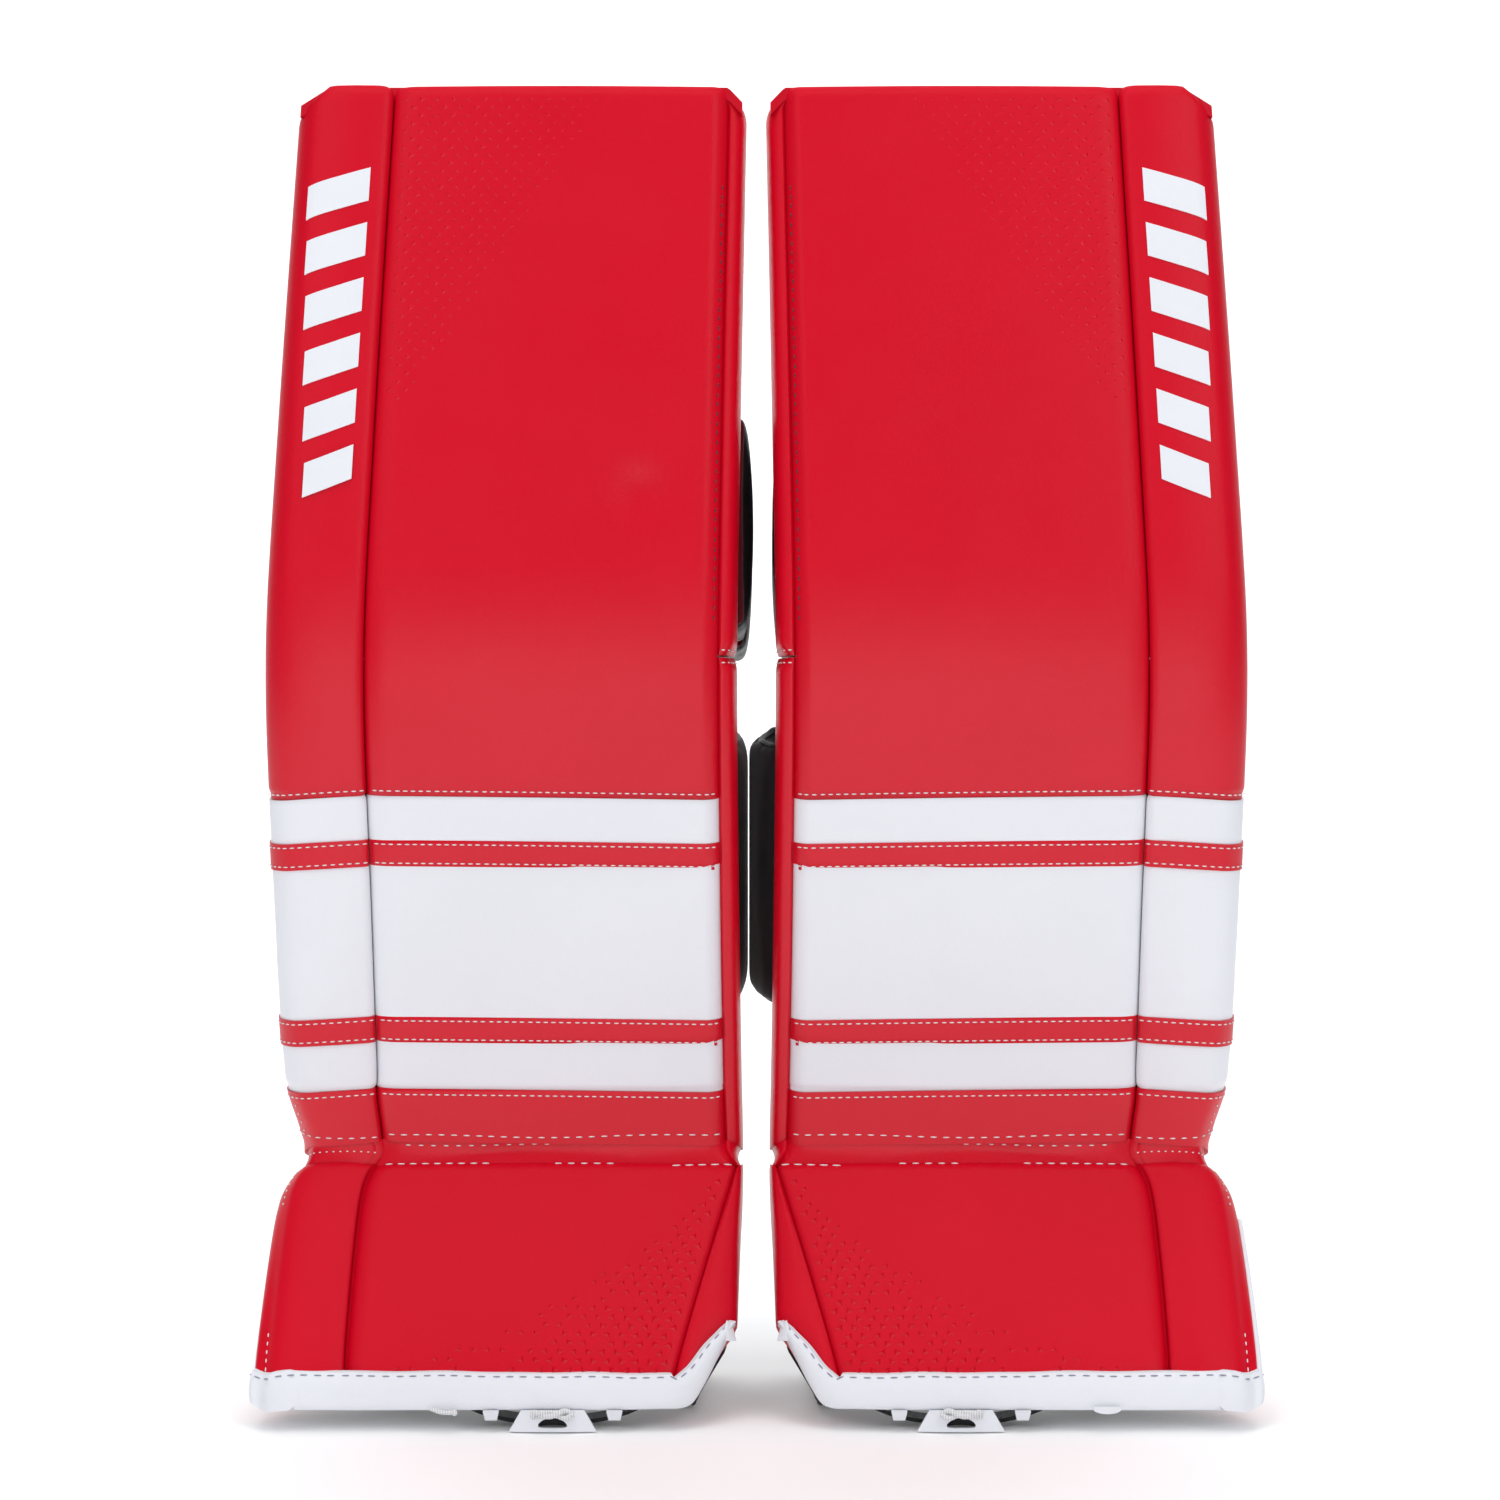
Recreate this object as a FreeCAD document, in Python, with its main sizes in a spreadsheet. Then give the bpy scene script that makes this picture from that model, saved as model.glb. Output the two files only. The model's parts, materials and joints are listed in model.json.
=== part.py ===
"""A pair of ice hockey goalie leg pads, in millimetres.

Frame: +X to the wearer's left, the pads' faces look along -Y, +Z is up, and the floor is Z = 0. The
origin is under the middle of the pair. Each pad is a thigh, a shin and a boot segment that meet at the knee
break and the boot break. A segment's pieces are drawn in that segment's own leaning frame: y runs back from
the face, z runs up along it, and x runs out from the pad's inner edge.
"""
import FreeCAD
import Part
import Sketcher
import math
import os

from FreeCAD import Vector

DIMENSIONS = {
    # the pair
    "half_gap": 9.0,
    "pad_width": 280.0,
    "roll_width": 65.0,
    "roll_round": 20.0,
    "skin": 2.0,
    "clearance": 0.3,
    # the front line: knee, lengths along the face, and how far each segment leans from upright
    "knee_front": -72.7,
    "knee_height": 455.0,
    "knee_radius": 360.0,
    "knee_bend": 60.0,
    "thigh_length": 365.0,
    "thigh_lean": 9.7,
    "thigh_thick": 50.0,
    "shin_length": 309.0,
    "shin_lean": 9.2,
    "shin_thick": 52.0,
    "boot_length": 176.0,
    "boot_lean": 40.0,
    "toe_thick": 24.0,
    # the two breaks
    "knee_pivot": 6.0,
    "knee_notch": 4.5,
    "break_gap": 6.0,
    "hinge_gap": 0.6,
    # panels on the shin's face, measured down from the knee
    "white_top": 86.0,
    "white_bottom": 269.5,
    "stripe_one": 113.0,
    "stripe_two": 223.5,
    "stripe_tall": 16.5,
    "stripe_thick": 1.2,
    # knee stack and knee wing
    "knee_stack_bottom": 26.0,
    "knee_stack_top": 171.0,
    "riser_depth": 68.0,
    "landing_depth": 65.0,
    "knee_stack_wide": 61.0,
    "right_stack_out": 7.0,
    "left_stack_out": -1.0,
    "stack_round": 12.0,
    "wing_inside": 188.0,
    "wing_thick": 11.0,
    "wing_depth": 96.0,
    "wing_sweep": 10.0,
    "wing_bottom": 36.0,
    "wing_top": 150.0,
    "knee_strap_tall": 50.0,
    "knee_strap_back": 106.0,
    "knee_strap_start": 66.0,
    "knee_strap_end": 206.0,
    "band": 3.0,
    # calf wall and flaps, behind the shin
    "calf_top": 58.0,
    "calf_bottom": 238.0,
    "calf_thick": 12.0,
    "calf_wall_in": 4.0,
    "calf_wall_deep": 88.0,
    "right_calf_bulge": 4.0,
    "left_calf_bulge": 14.0,
    "flap_reach": 150.0,
    "outer_root": 190.0,
    "outer_tip": 126.0,
    "outer_bend": 30.0,
    "calf_strap_tall": 50.0,
    "calf_strap_start": 62.0,
    "calf_strap_end": 188.0,
    # boot channel
    "inner_wall_in": 24.0,
    "outer_wall_in": 196.0,
    "wall_thick": 12.0,
    "wall_front": -55.0,
    "wall_front_tall": 35.0,
    "wall_shoulder": 40.0,
    "wall_tall": 117.0,
    "wall_back": 66.0,
    "wall_back_tall": 96.0,
    "boot_strap_low": 42.0,
    "boot_strap_tall": 36.0,
    "boot_strap_wrap": 30.0,
    # toe end
    "inner_seam": 43.0,
    "corner_wide": 25.0,
    "corner_tall": 55.0,
    "binding_tall": 24.0,
    "binding_proud": 0.8,
    "bridge_middle": 110.0,
    "bridge_wide": 50.0,
    "bridge_bottom": 1.2,
    "bridge_pivot": 12.6,
    "bridge_from_toe": 6.0,
    "slot_wide": 16.0,
    "slot_tall": 5.4,
    "slot_height": 6.6,
    "toe_strap_half": 52.0,
    "toe_strap_sag": 10.0,
    "toe_strap_wide": 20.0,
    "toe_strap_from_toe": 18.0,
}

SIDES = {"right": -1, "left": 1}

# where the boot break's front line lies
BREAK_Y = "(dims.knee_front + dims.shin_length * sin(dims.shin_lean))"
BREAK_Z = "(dims.knee_height - dims.shin_length * cos(dims.shin_lean))"
TOE_Y = f"({BREAK_Y} - dims.boot_length * sin(dims.boot_lean))"

# a segment's frame: the Y and Z of its origin on the front line, and its turn about X
THIGH = ("dims.knee_front", "dims.knee_height", "-dims.thigh_lean")
SHIN = ("dims.knee_front", "dims.knee_height", "dims.shin_lean")
BOOT = (BREAK_Y, BREAK_Z, "-dims.boot_lean")
FOOT = (BREAK_Y, "0", "0")

# half the angle between the shin's face and the boot's
BREAK_TURN = "((dims.boot_lean + dims.shin_lean) / 2)"

doc = FreeCAD.newDocument("goalie_leg_pads")
sheet = doc.addObject("Spreadsheet::Sheet", "dims")
for row, (alias, size) in enumerate(DIMENSIONS.items(), start=1):
    sheet.set(f"A{row}", alias.replace("_", " "))
    sheet.set(f"B{row}", str(size))
    sheet.setAlias(f"B{row}", alias)
doc.recompute()


def value(expression):
    """The number that an expression over the sheet comes to."""
    result = sheet.evalExpression(expression)
    return float(getattr(result, "Value", result))


def across(side, distance):
    """X of a place that lies a distance out from the pad's inner edge."""
    return f"({SIDES[side]} * (dims.half_gap + {distance}))"


def new_body(side, label, frame):
    """An empty body in a segment's frame, placed by the sheet."""
    body = doc.addObject("PartDesign::Body", f"{side}_{label}")
    body.Label = f"{side}_{label}"
    body.AllowCompound = True
    y, z, turn = frame
    body.setExpression(
        "Placement", f"placement(vector(0; {y}; {z}); rotation(vector(1; 0; 0); {turn}))"
    )
    return body


def new_sketch(body, plane, offset="0"):
    """A sketch on one of the body's own origin planes, moved off it by an expression."""
    sketch = body.newObject("Sketcher::SketchObject", f"{body.Name}_outline")
    origin_plane = next(f for f in body.Origin.OriginFeatures if f.Role == plane)
    sketch.AttachmentSupport = (origin_plane, [""])
    sketch.MapMode = "FlatFace"
    sketch.setExpression("AttachmentOffset.Base.z", offset)
    return sketch


def hold(sketch, kind, place, expression):
    """One driving dimension of a sketch, bound to the sheet."""
    index = sketch.addConstraint(Sketcher.Constraint(kind, *place, value(expression)))
    sketch.setExpression(f"Constraints[{index}]", expression)


def arc_between(start, end, radius, turn):
    """The short arc from start to end; turn is 1 when it runs anticlockwise, else -1."""
    chord = end - start
    rise = math.sqrt(radius ** 2 - (chord.Length / 2) ** 2)
    to_centre = Vector(-chord.y, chord.x, 0).normalize() * (turn * rise)
    centre = (start + end) / 2 + to_centre
    low, high = (start, end) if turn > 0 else (end, start)
    low_angle = math.atan2(low.y - centre.y, low.x - centre.x)
    high_angle = math.atan2(high.y - centre.y, high.x - centre.x)
    if high_angle < low_angle:
        high_angle += 2 * math.pi
    return Part.ArcOfCircle(Part.Circle(centre, Vector(0, 0, 1), radius), low_angle, high_angle)


def draw_loop(sketch, outline):
    """A closed loop, fully held by the sheet.

    Each corner is (across, up), or (across, up, radius, turn) when an arc leaves it for the next corner.
    """
    first = sketch.GeometryCount
    count = len(outline)
    corners = [Vector(value(corner[0]), value(corner[1]), 0) for corner in outline]
    ends = []
    for number, corner in enumerate(outline):
        start = corners[number]
        end = corners[(number + 1) % count]
        if len(corner) == 2:
            sketch.addGeometry(Part.LineSegment(start, end), False)
            ends.append((1, 2))
        else:
            turn = corner[3]
            sketch.addGeometry(arc_between(start, end, value(corner[2]), turn), False)
            ends.append((1, 2) if turn > 0 else (2, 1))
    for number, corner in enumerate(outline):
        following = (number + 1) % count
        sketch.addConstraint(
            Sketcher.Constraint(
                "Coincident", first + number, ends[number][1], first + following, ends[following][0]
            )
        )
        place = (-1, 1, first + number, ends[number][0])
        hold(sketch, "DistanceX", place, corner[0])
        hold(sketch, "DistanceY", place, corner[1])
        if len(corner) == 4:
            hold(sketch, "Radius", (first + number,), corner[2])


def add_pad(body, sketch, length, reverse=False):
    """A pad of the sketch, its length held by the sheet."""
    pad = body.newObject("PartDesign::Pad", f"{body.Name}_pad")
    pad.Profile = sketch
    pad.Reversed = reverse
    pad.setExpression("Length", length)
    doc.recompute()
    return pad


def add_side_pad(side, body, loops, start, end):
    """A pad of side views (y, z), running across the pad from start to end."""
    low = across(side, start if SIDES[side] > 0 else end)
    sketch = new_sketch(body, "YZ_Plane", low)
    for loop in loops:
        draw_loop(sketch, loop)
    add_pad(body, sketch, f"({end}) - ({start})")


def side_prism(side, label, frame, outline, start, end):
    """A piece with one side view, running across the pad from start to end."""
    body = new_body(side, label, frame)
    add_side_pad(side, body, [outline], start, end)
    return body


def plan_prism(side, label, frame, outline, low, high):
    """A piece with one plan view (x out from the inner edge, y), from low to high along z."""
    body = new_body(side, label, frame)
    sketch = new_sketch(body, "XY_Plane", low)
    draw_loop(sketch, mirrored(side, outline))
    add_pad(body, sketch, f"({high}) - ({low})")
    return body


def front_prism(side, label, frame, loops, front, back):
    """A piece with one front view (x out from the inner edge, z), from front to back along y."""
    body = new_body(side, label, frame)
    sketch = new_sketch(body, "XZ_Plane", f"-({front})")
    for loop in loops:
        draw_loop(sketch, mirrored(side, loop))
    add_pad(body, sketch, f"({back}) - ({front})", reverse=True)
    return body


def mirrored(side, outline):
    """The outline of one pad's piece, with its arcs' turns swapped on the mirrored pad."""
    sign = SIDES[side]
    return [
        (across(side, corner[0]), *corner[1:3], *(sign * turn for turn in corner[3:]))
        for corner in outline
    ]


def round_edges(body, radius, chosen):
    """Rounds the edges of the body that the test picks, by their middle point and direction."""
    base = body.Tip
    names = [
        f"Edge{number}"
        for number, edge in enumerate(base.Shape.Edges, start=1)
        if chosen(edge)
    ]
    fillet = body.newObject("PartDesign::Fillet", f"{body.Name}_round")
    fillet.Base = (base, names)
    fillet.setExpression("Radius", radius)
    doc.recompute()
    return fillet


def at_x(edge, x, tolerance=0.01):
    """Whether the whole edge lies at one X."""
    return all(abs(vertex.Point.x - x) < tolerance for vertex in edge.Vertexes)


# ---- lines that the breaks follow, at depth y behind the face -------------------------------------------

BREAK_SLOPE = f"(dims.break_gap / dims.shin_thick + tan({BREAK_TURN}))"
THIGH_TOP = "dims.thigh_length"
SHIN_END = "(dims.break_gap + dims.hinge_gap - dims.shin_length)"


def thigh_foot(y):
    """z of the thigh's lower end: level at the knee, opened by the notch behind the pivot."""
    return f"(({y}) * tan(dims.thigh_lean + dims.knee_notch) + dims.hinge_gap)"


def shin_head(y):
    """z of the shin's upper end."""
    return f"(-({y}) * tan(dims.shin_lean + dims.knee_notch) - dims.hinge_gap)"


def shin_foot(y):
    """z of the shin's lower end: a notch open at the face and closed at the back."""
    return f"({SHIN_END} - ({y}) * {BREAK_SLOPE})"


def boot_head(y):
    """z of the boot's upper end, the other side of that notch."""
    return f"(({y}) * {BREAK_SLOPE} - dims.break_gap - dims.hinge_gap)"


def boot_foot(y):
    """z of the boot's toe end, which is level."""
    return f"(({y}) * tan(dims.boot_lean) - dims.boot_length)"


def at_knee(y):
    """Depth, at the knee, of the layer that lies at depth y elsewhere: the face is rounded there."""
    radius = knee_arc(y)
    return f"(dims.knee_radius - sqrt({radius} * {radius} - dims.knee_bend * dims.knee_bend))"


def knee_corner(y, end, sign):
    """Where a rounded layer ends at the knee: on its arc, level with the segment's end line."""
    z = end(at_knee(y))
    radius = knee_arc(y)
    drop = f"(dims.knee_bend - {sign} * {z})"
    return (f"(dims.knee_radius - sqrt({radius} * {radius} - {drop} * {drop}))", z)


def thigh_corner(y):
    """A rounded layer's corner at the thigh's lower end."""
    return knee_corner(y, thigh_foot, 1)


def shin_corner(y):
    """A rounded layer's corner at the shin's upper end."""
    return knee_corner(y, shin_head, -1)


def knee_arc(y):
    """Radius of the rounded knee at depth y."""
    return f"(dims.knee_radius - ({y}))"


# ---- side views of one layer of a segment, from depth front to depth back -------------------------------

def thigh_block(front, back, top=THIGH_TOP):
    """A thick layer of the thigh: only its front line follows the rounded knee."""
    return [
        thigh_corner(front),
        (back, thigh_foot(back)),
        (back, top),
        (front, top),
        (front, "dims.knee_bend", knee_arc(front), 1),
    ]


def thigh_skin(front, back, top=THIGH_TOP):
    """A thin layer of the thigh, rounded on both sides."""
    return [
        thigh_corner(front),
        (*thigh_corner(back), knee_arc(back), -1),
        (back, "dims.knee_bend"),
        (back, top),
        (front, top),
        (front, "dims.knee_bend", knee_arc(front), 1),
    ]


def shin_block(front, back):
    """A thick layer of the shin, from the knee to the boot break."""
    return [
        (*shin_corner(front), knee_arc(front), 1),
        (front, "-dims.knee_bend"),
        (front, shin_foot(front)),
        (back, shin_foot(back)),
        (back, shin_head(back)),
    ]


def knee_skin(front, back, low):
    """A thin layer of the shin, from the rounded knee down to low."""
    return [
        (*shin_corner(front), knee_arc(front), 1),
        (front, "-dims.knee_bend"),
        (front, low),
        (back, low),
        (back, "-dims.knee_bend", knee_arc(back), -1),
        shin_corner(back),
    ]


def boot_back(clearance="0"):
    """The boot's back line, from the break to the toe."""
    return [
        (f"dims.shin_thick - {clearance}", boot_head(f"dims.shin_thick - {clearance}")),
        (f"dims.toe_thick - {clearance}", boot_foot(f"dims.toe_thick - {clearance}")),
    ]


def rectangle(left, low, right, high):
    """A plain rectangle's corners."""
    return [(left, low), (right, low), (right, high), (left, high)]


UNDER_SKIN = "dims.skin + dims.clearance"

SEAM = "dims.pad_width - dims.roll_width"
FACE_END = f"{SEAM} - dims.clearance / 2"
ROLL_START = f"{SEAM} + dims.clearance / 2"


def round_roll(side, body):
    """Rounds the outer roll's long outer edges, front and back."""
    outer = value(across(side, "dims.pad_width"))
    round_edges(body, "dims.roll_round", lambda edge: at_x(edge, outer) and is_long_side(edge))
    return body


def is_long_side(edge):
    """Whether an edge runs along the segment and not across its end."""
    ends = [vertex.Point for vertex in edge.Vertexes]
    return abs(ends[0].z - ends[-1].z) > value("dims.roll_width") / 2


# ---- the thigh ------------------------------------------------------------------------------------------

def thigh(side):
    """The foam core and everything sewn round it above the knee break."""
    top = "dims.thigh_length - dims.skin - dims.clearance"
    deep = "dims.thigh_thick - dims.skin"
    side_prism(
        side, "thigh_core", THIGH,
        thigh_block(UNDER_SKIN, f"{deep} - dims.clearance", top), UNDER_SKIN, FACE_END,
    )
    side_prism(side, "thigh_face", THIGH, thigh_skin("0", "dims.skin", top), UNDER_SKIN, FACE_END)
    round_roll(side, side_prism(
        side, "thigh_roll", THIGH,
        thigh_block("0", f"{deep} - dims.clearance", top), ROLL_START, "dims.pad_width",
    ))
    side_prism(
        side, "thigh_inner_side", THIGH,
        thigh_block("0", f"{deep} - dims.clearance", top), "0", "dims.skin",
    )
    back_and_top = [
        (deep, thigh_foot(deep)),
        ("dims.thigh_thick", thigh_foot("dims.thigh_thick")),
        ("dims.thigh_thick", THIGH_TOP),
        ("0", THIGH_TOP),
        ("0", "dims.thigh_length - dims.skin"),
        (deep, "dims.thigh_length - dims.skin"),
    ]
    side_prism(side, "thigh_back", THIGH, back_and_top, "0", "dims.pad_width - dims.roll_round")


def knee_stack(side):
    """The two cushions the knee lands on, stacked behind the thigh's inner half."""
    start = f"-dims.{side}_stack_out"
    end = f"({start} + dims.knee_stack_wide)"
    riser_front = "(dims.thigh_thick + dims.clearance)"
    riser_back = f"({riser_front} + dims.riser_depth)"
    landing_front = f"({riser_back} + dims.clearance)"
    landing_back = f"({landing_front} + dims.landing_depth)"
    side_prism(
        side, "knee_riser", THIGH,
        rectangle(riser_front, "dims.knee_stack_bottom", riser_back, "dims.knee_stack_top"), start, end,
    )
    landing = side_prism(
        side, "knee_landing", THIGH,
        rectangle(landing_front, "dims.knee_stack_bottom", landing_back, "dims.knee_stack_top"), start, end,
    )
    back = value(landing_back)
    round_edges(
        landing, "dims.stack_round",
        lambda edge: all(abs(vertex.Point.y - back) < 0.01 for vertex in edge.Vertexes),
    )


def knee_wing(side):
    """The foam wing that closes the leg channel on the outer side of the knee."""
    root = "(dims.thigh_thick + dims.clearance * 2)"
    tip = f"({root} + dims.wing_depth)"
    sweep = "(dims.wing_inside + dims.wing_sweep)"
    outline = [
        (sweep, root),
        (f"{sweep} + dims.wing_thick", root),
        ("dims.wing_inside + dims.wing_thick", tip),
        ("dims.wing_inside", tip),
    ]
    plan_prism(side, "knee_wing", THIGH, outline, "dims.wing_bottom", "dims.wing_top")


def band_outline(start, middle, end):
    """The plan of a straight band: a round hinge end at start, its middle line at depth middle."""
    low = f"({middle} - dims.band / 2)"
    high = f"({middle} + dims.band / 2)"
    half = "(dims.band / 2)"
    return [
        (end, high),
        (start, high, half, 1),
        (f"{start} - {half}", middle, half, 1),
        (start, low),
        (end, low),
    ]


def knee_strap(side):
    """The elastic strap from the knee stack across the back of the knee to the wing."""
    middle = "(dims.wing_bottom + dims.wing_top) / 2"
    depth = "(dims.thigh_thick + dims.knee_strap_back)"
    plan_prism(
        side, "knee_strap", THIGH,
        band_outline("dims.knee_strap_start", depth, "dims.knee_strap_end"),
        f"{middle} - dims.knee_strap_tall / 2", f"{middle} + dims.knee_strap_tall / 2",
    )


# ---- the shin -------------------------------------------------------------------------------------------

def shin(side):
    """The foam core and everything sewn round it between the knee break and the boot break."""
    deep = "dims.shin_thick - dims.skin"
    side_prism(
        side, "shin_core", SHIN, shin_block(UNDER_SKIN, f"{deep} - dims.clearance"), UNDER_SKIN, FACE_END
    )
    round_roll(side, side_prism(
        side, "shin_roll", SHIN, shin_block("0", f"{deep} - dims.clearance"), ROLL_START, "dims.pad_width"
    ))
    side_prism(side, "shin_inner_side", SHIN, shin_block("0", f"{deep} - dims.clearance"), "0", "dims.skin")
    lining = [
        (deep, shin_foot(deep)),
        ("dims.shin_thick", shin_foot("dims.shin_thick")),
        ("dims.shin_thick", shin_head("dims.shin_thick")),
        (deep, shin_head(deep)),
    ]
    side_prism(side, "shin_back", SHIN, lining, "0", "dims.pad_width - dims.roll_round")


def shin_face(side):
    """The shin's red panels above and below, the white one between, and the strips sewn over it."""
    white = rectangle("0", "-dims.white_bottom", "dims.skin", "-dims.white_top - dims.clearance")
    side_prism(side, "shin_white_panel", SHIN, white, UNDER_SKIN, FACE_END)
    low_panel = [
        ("0", "-dims.white_bottom - dims.clearance"),
        ("0", shin_foot("0")),
        ("dims.skin", shin_foot("dims.skin")),
        ("dims.skin", "-dims.white_bottom - dims.clearance"),
    ]
    panels = new_body(side, "shin_red_panels", SHIN)
    knee_panel = knee_skin("0", "dims.skin", "-dims.white_top")
    add_side_pad(side, panels, [knee_panel, low_panel], UNDER_SKIN, FACE_END)
    stripes = new_body(side, "shin_stripes", SHIN)
    strips = [
        rectangle("-dims.stripe_thick", f"{top} - dims.stripe_tall", "0", top)
        for top in ("-dims.stripe_one", "-dims.stripe_two")
    ]
    add_side_pad(side, stripes, strips, UNDER_SKIN, FACE_END)


def calf_wall(side):
    """The padded inner wall of the leg channel, sewn to the back of the shin."""
    bulge = f"dims.{side}_calf_bulge"
    half = "(dims.calf_wall_deep / 2)"
    radius = f"(({half} * {half} + {bulge} * {bulge}) / (2 * {bulge}))"
    root = "(dims.shin_thick + dims.clearance)"
    tip = f"({root} + dims.calf_wall_deep)"
    outline = [
        ("dims.calf_wall_in", tip, radius, 1),
        ("dims.calf_wall_in", root),
        ("dims.calf_wall_in + dims.calf_thick", root, radius, -1),
        ("dims.calf_wall_in + dims.calf_thick", tip),
    ]
    plan_prism(side, "calf_wall", SHIN, outline, "-dims.calf_bottom", "-dims.calf_top")


FLAP_FRONT = "(dims.shin_thick + dims.calf_wall_deep + dims.clearance * 4)"
FLAP_BACK = f"({FLAP_FRONT} + dims.calf_thick)"


def calf_flaps(side):
    """The flap that folds round from the inner wall, and the bent one from the outer side, under it."""
    half = "(dims.calf_thick / 2)"
    inner_flap = [
        ("dims.flap_reach", FLAP_BACK),
        (f"dims.calf_wall_in + {half}", FLAP_BACK, half, 1),
        ("dims.calf_wall_in", f"{FLAP_FRONT} + {half}", half, 1),
        (f"dims.calf_wall_in + {half}", FLAP_FRONT),
        ("dims.flap_reach", FLAP_FRONT),
    ]
    plan_prism(side, "calf_flap_inner", SHIN, inner_flap, "-dims.calf_bottom", "-dims.calf_top")
    outside = "(dims.outer_root + dims.calf_thick)"
    root = "(dims.shin_thick + dims.clearance * 2)"
    back = f"({FLAP_FRONT} - dims.clearance * 5)"
    front = f"({back} - dims.calf_thick)"
    outer_flap = [
        (outside, root),
        (outside, f"{back} - dims.outer_bend", "dims.outer_bend", 1),
        (f"{outside} - dims.outer_bend", back),
        ("dims.outer_tip", back),
        ("dims.outer_tip", front),
        (f"{outside} - dims.outer_bend", front, "dims.outer_bend - dims.calf_thick", -1),
        ("dims.outer_root", f"{back} - dims.outer_bend"),
        ("dims.outer_root", root),
    ]
    plan_prism(side, "calf_flap_outer", SHIN, outer_flap, "-dims.calf_bottom", "-dims.calf_top")


def calf_strap(side):
    """The wide strap that closes the two calf flaps."""
    middle = "(dims.calf_bottom + dims.calf_top) / 2"
    plan_prism(
        side, "calf_strap", SHIN,
        band_outline("dims.calf_strap_start", f"({FLAP_BACK} + dims.band)", "dims.calf_strap_end"),
        f"-{middle} - dims.calf_strap_tall / 2", f"-{middle} + dims.calf_strap_tall / 2",
    )


# ---- the boot -------------------------------------------------------------------------------------------

def cut_toe_corner(side, body):
    """Cuts the boot's inner toe corner off, right through the piece."""
    sketch = new_sketch(body, "XZ_Plane")
    low = "-dims.boot_length * 2"
    corner = [
        ("-dims.corner_wide", f"-dims.boot_length + dims.corner_tall * 2"),
        ("-dims.corner_wide", low),
        ("dims.corner_wide * 2", low),
        ("dims.corner_wide * 2", "-dims.boot_length - dims.corner_tall"),
    ]
    draw_loop(sketch, mirrored(side, corner))
    before = body.Shape.Volume
    pocket = body.newObject("PartDesign::Pocket", f"{body.Name}_corner")
    pocket.Profile = sketch
    pocket.Type = "ThroughAll"
    pocket.Midplane = True
    doc.recompute()
    if body.Shape.Volume >= before:
        raise RuntimeError(f"{body.Label}: the toe corner was not cut")


def boot(side):
    """The foam core of the boot and its face, roll, inner side and lower lining."""
    front = UNDER_SKIN
    core = [
        (front, boot_head(front)),
        (front, boot_foot(front)),
        *reversed(boot_back("dims.clearance")),
    ]
    core_body = side_prism(side, "boot_core", BOOT, core, UNDER_SKIN, FACE_END)
    cut_toe_corner(side, core_body)
    above_binding = "-dims.boot_length + dims.binding_tall + dims.clearance"
    roll = [
        ("0", boot_head("0")),
        ("0", above_binding),
        (front, above_binding),
        (front, boot_foot(front)),
        *reversed(boot_back("dims.clearance")),
    ]
    side_prism(side, "boot_roll", BOOT, roll, ROLL_START, "dims.pad_width")


def boot_face(side):
    """The boot's face, which narrows towards the toe."""
    head = "-dims.break_gap - dims.hinge_gap"
    low = "-dims.boot_length + dims.binding_tall + dims.clearance"
    face = [(UNDER_SKIN, head), ("dims.inner_seam", low), (FACE_END, low), (FACE_END, head)]
    front_prism(side, "boot_face", BOOT, [face], "0", "dims.skin")


def toe_binding(side):
    """The white binding along the toe edge and up the cut inner corner."""
    bottom = "-dims.boot_length"
    outline = [
        ("0", f"{bottom} + dims.corner_tall"),
        ("dims.corner_wide", bottom),
        ("dims.pad_width", bottom),
        ("dims.pad_width", f"{bottom} + dims.binding_tall"),
        ("dims.inner_seam - dims.clearance", f"{bottom} + dims.binding_tall"),
        ("dims.corner_wide", f"{bottom} + dims.corner_tall"),
    ]
    front_prism(side, "toe_binding", BOOT, [outline], "-dims.binding_proud", "dims.skin")


def boot_inner_side(side):
    """The inner side panel: a triangle beside the face, and the plate down the boot's inner edge."""
    body = new_body(side, "boot_inner_side", BOOT)
    head = "-dims.break_gap - dims.hinge_gap"
    low = "-dims.boot_length + dims.corner_tall + dims.clearance"
    seam_low = f"(dims.inner_seam * ({low}) / ({low} - dims.corner_tall + dims.binding_tall))"
    triangle = [("0", head), ("0", low), (f"{seam_low} - dims.clearance", low), ("dims.skin", head)]
    sketch = new_sketch(body, "XZ_Plane")
    draw_loop(sketch, mirrored(side, triangle))
    add_pad(body, sketch, "dims.skin", reverse=True)
    plate = [("0", head), ("0", low), (f"{boot_back_at(low)}", low), *boot_back("dims.clearance")[:1]]
    add_side_pad(side, body, [plate], "0", "dims.skin")


def boot_back_at(z):
    """Depth of the boot's back line where it is z along the face."""
    top_z = boot_head("dims.shin_thick")
    low_z = boot_foot("dims.toe_thick")
    share = f"(({z}) - {low_z}) / ({top_z} - {low_z})"
    return f"(dims.toe_thick - dims.clearance + (dims.shin_thick - dims.toe_thick) * {share})"


def boot_gusset(side):
    """The loose strip of leather folded into the front of the boot break."""
    middle = f"tan(dims.boot_lean - {BREAK_TURN})"
    deep = "dims.break_gap"
    outline = [
        ("-dims.break_gap * 0.1", "dims.break_gap * 0.8"),
        ("-dims.break_gap * 0.5", "-dims.break_gap * 0.7"),
        (deep, f"-{deep} * {middle} - dims.break_gap * 0.6"),
        (deep, f"-{deep} * {middle} + dims.break_gap * 0.6"),
    ]
    frame = (BREAK_Y, BREAK_Z, "0")
    side_prism(side, "boot_gusset", frame, outline, UNDER_SKIN, "dims.pad_width - dims.skin")


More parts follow.
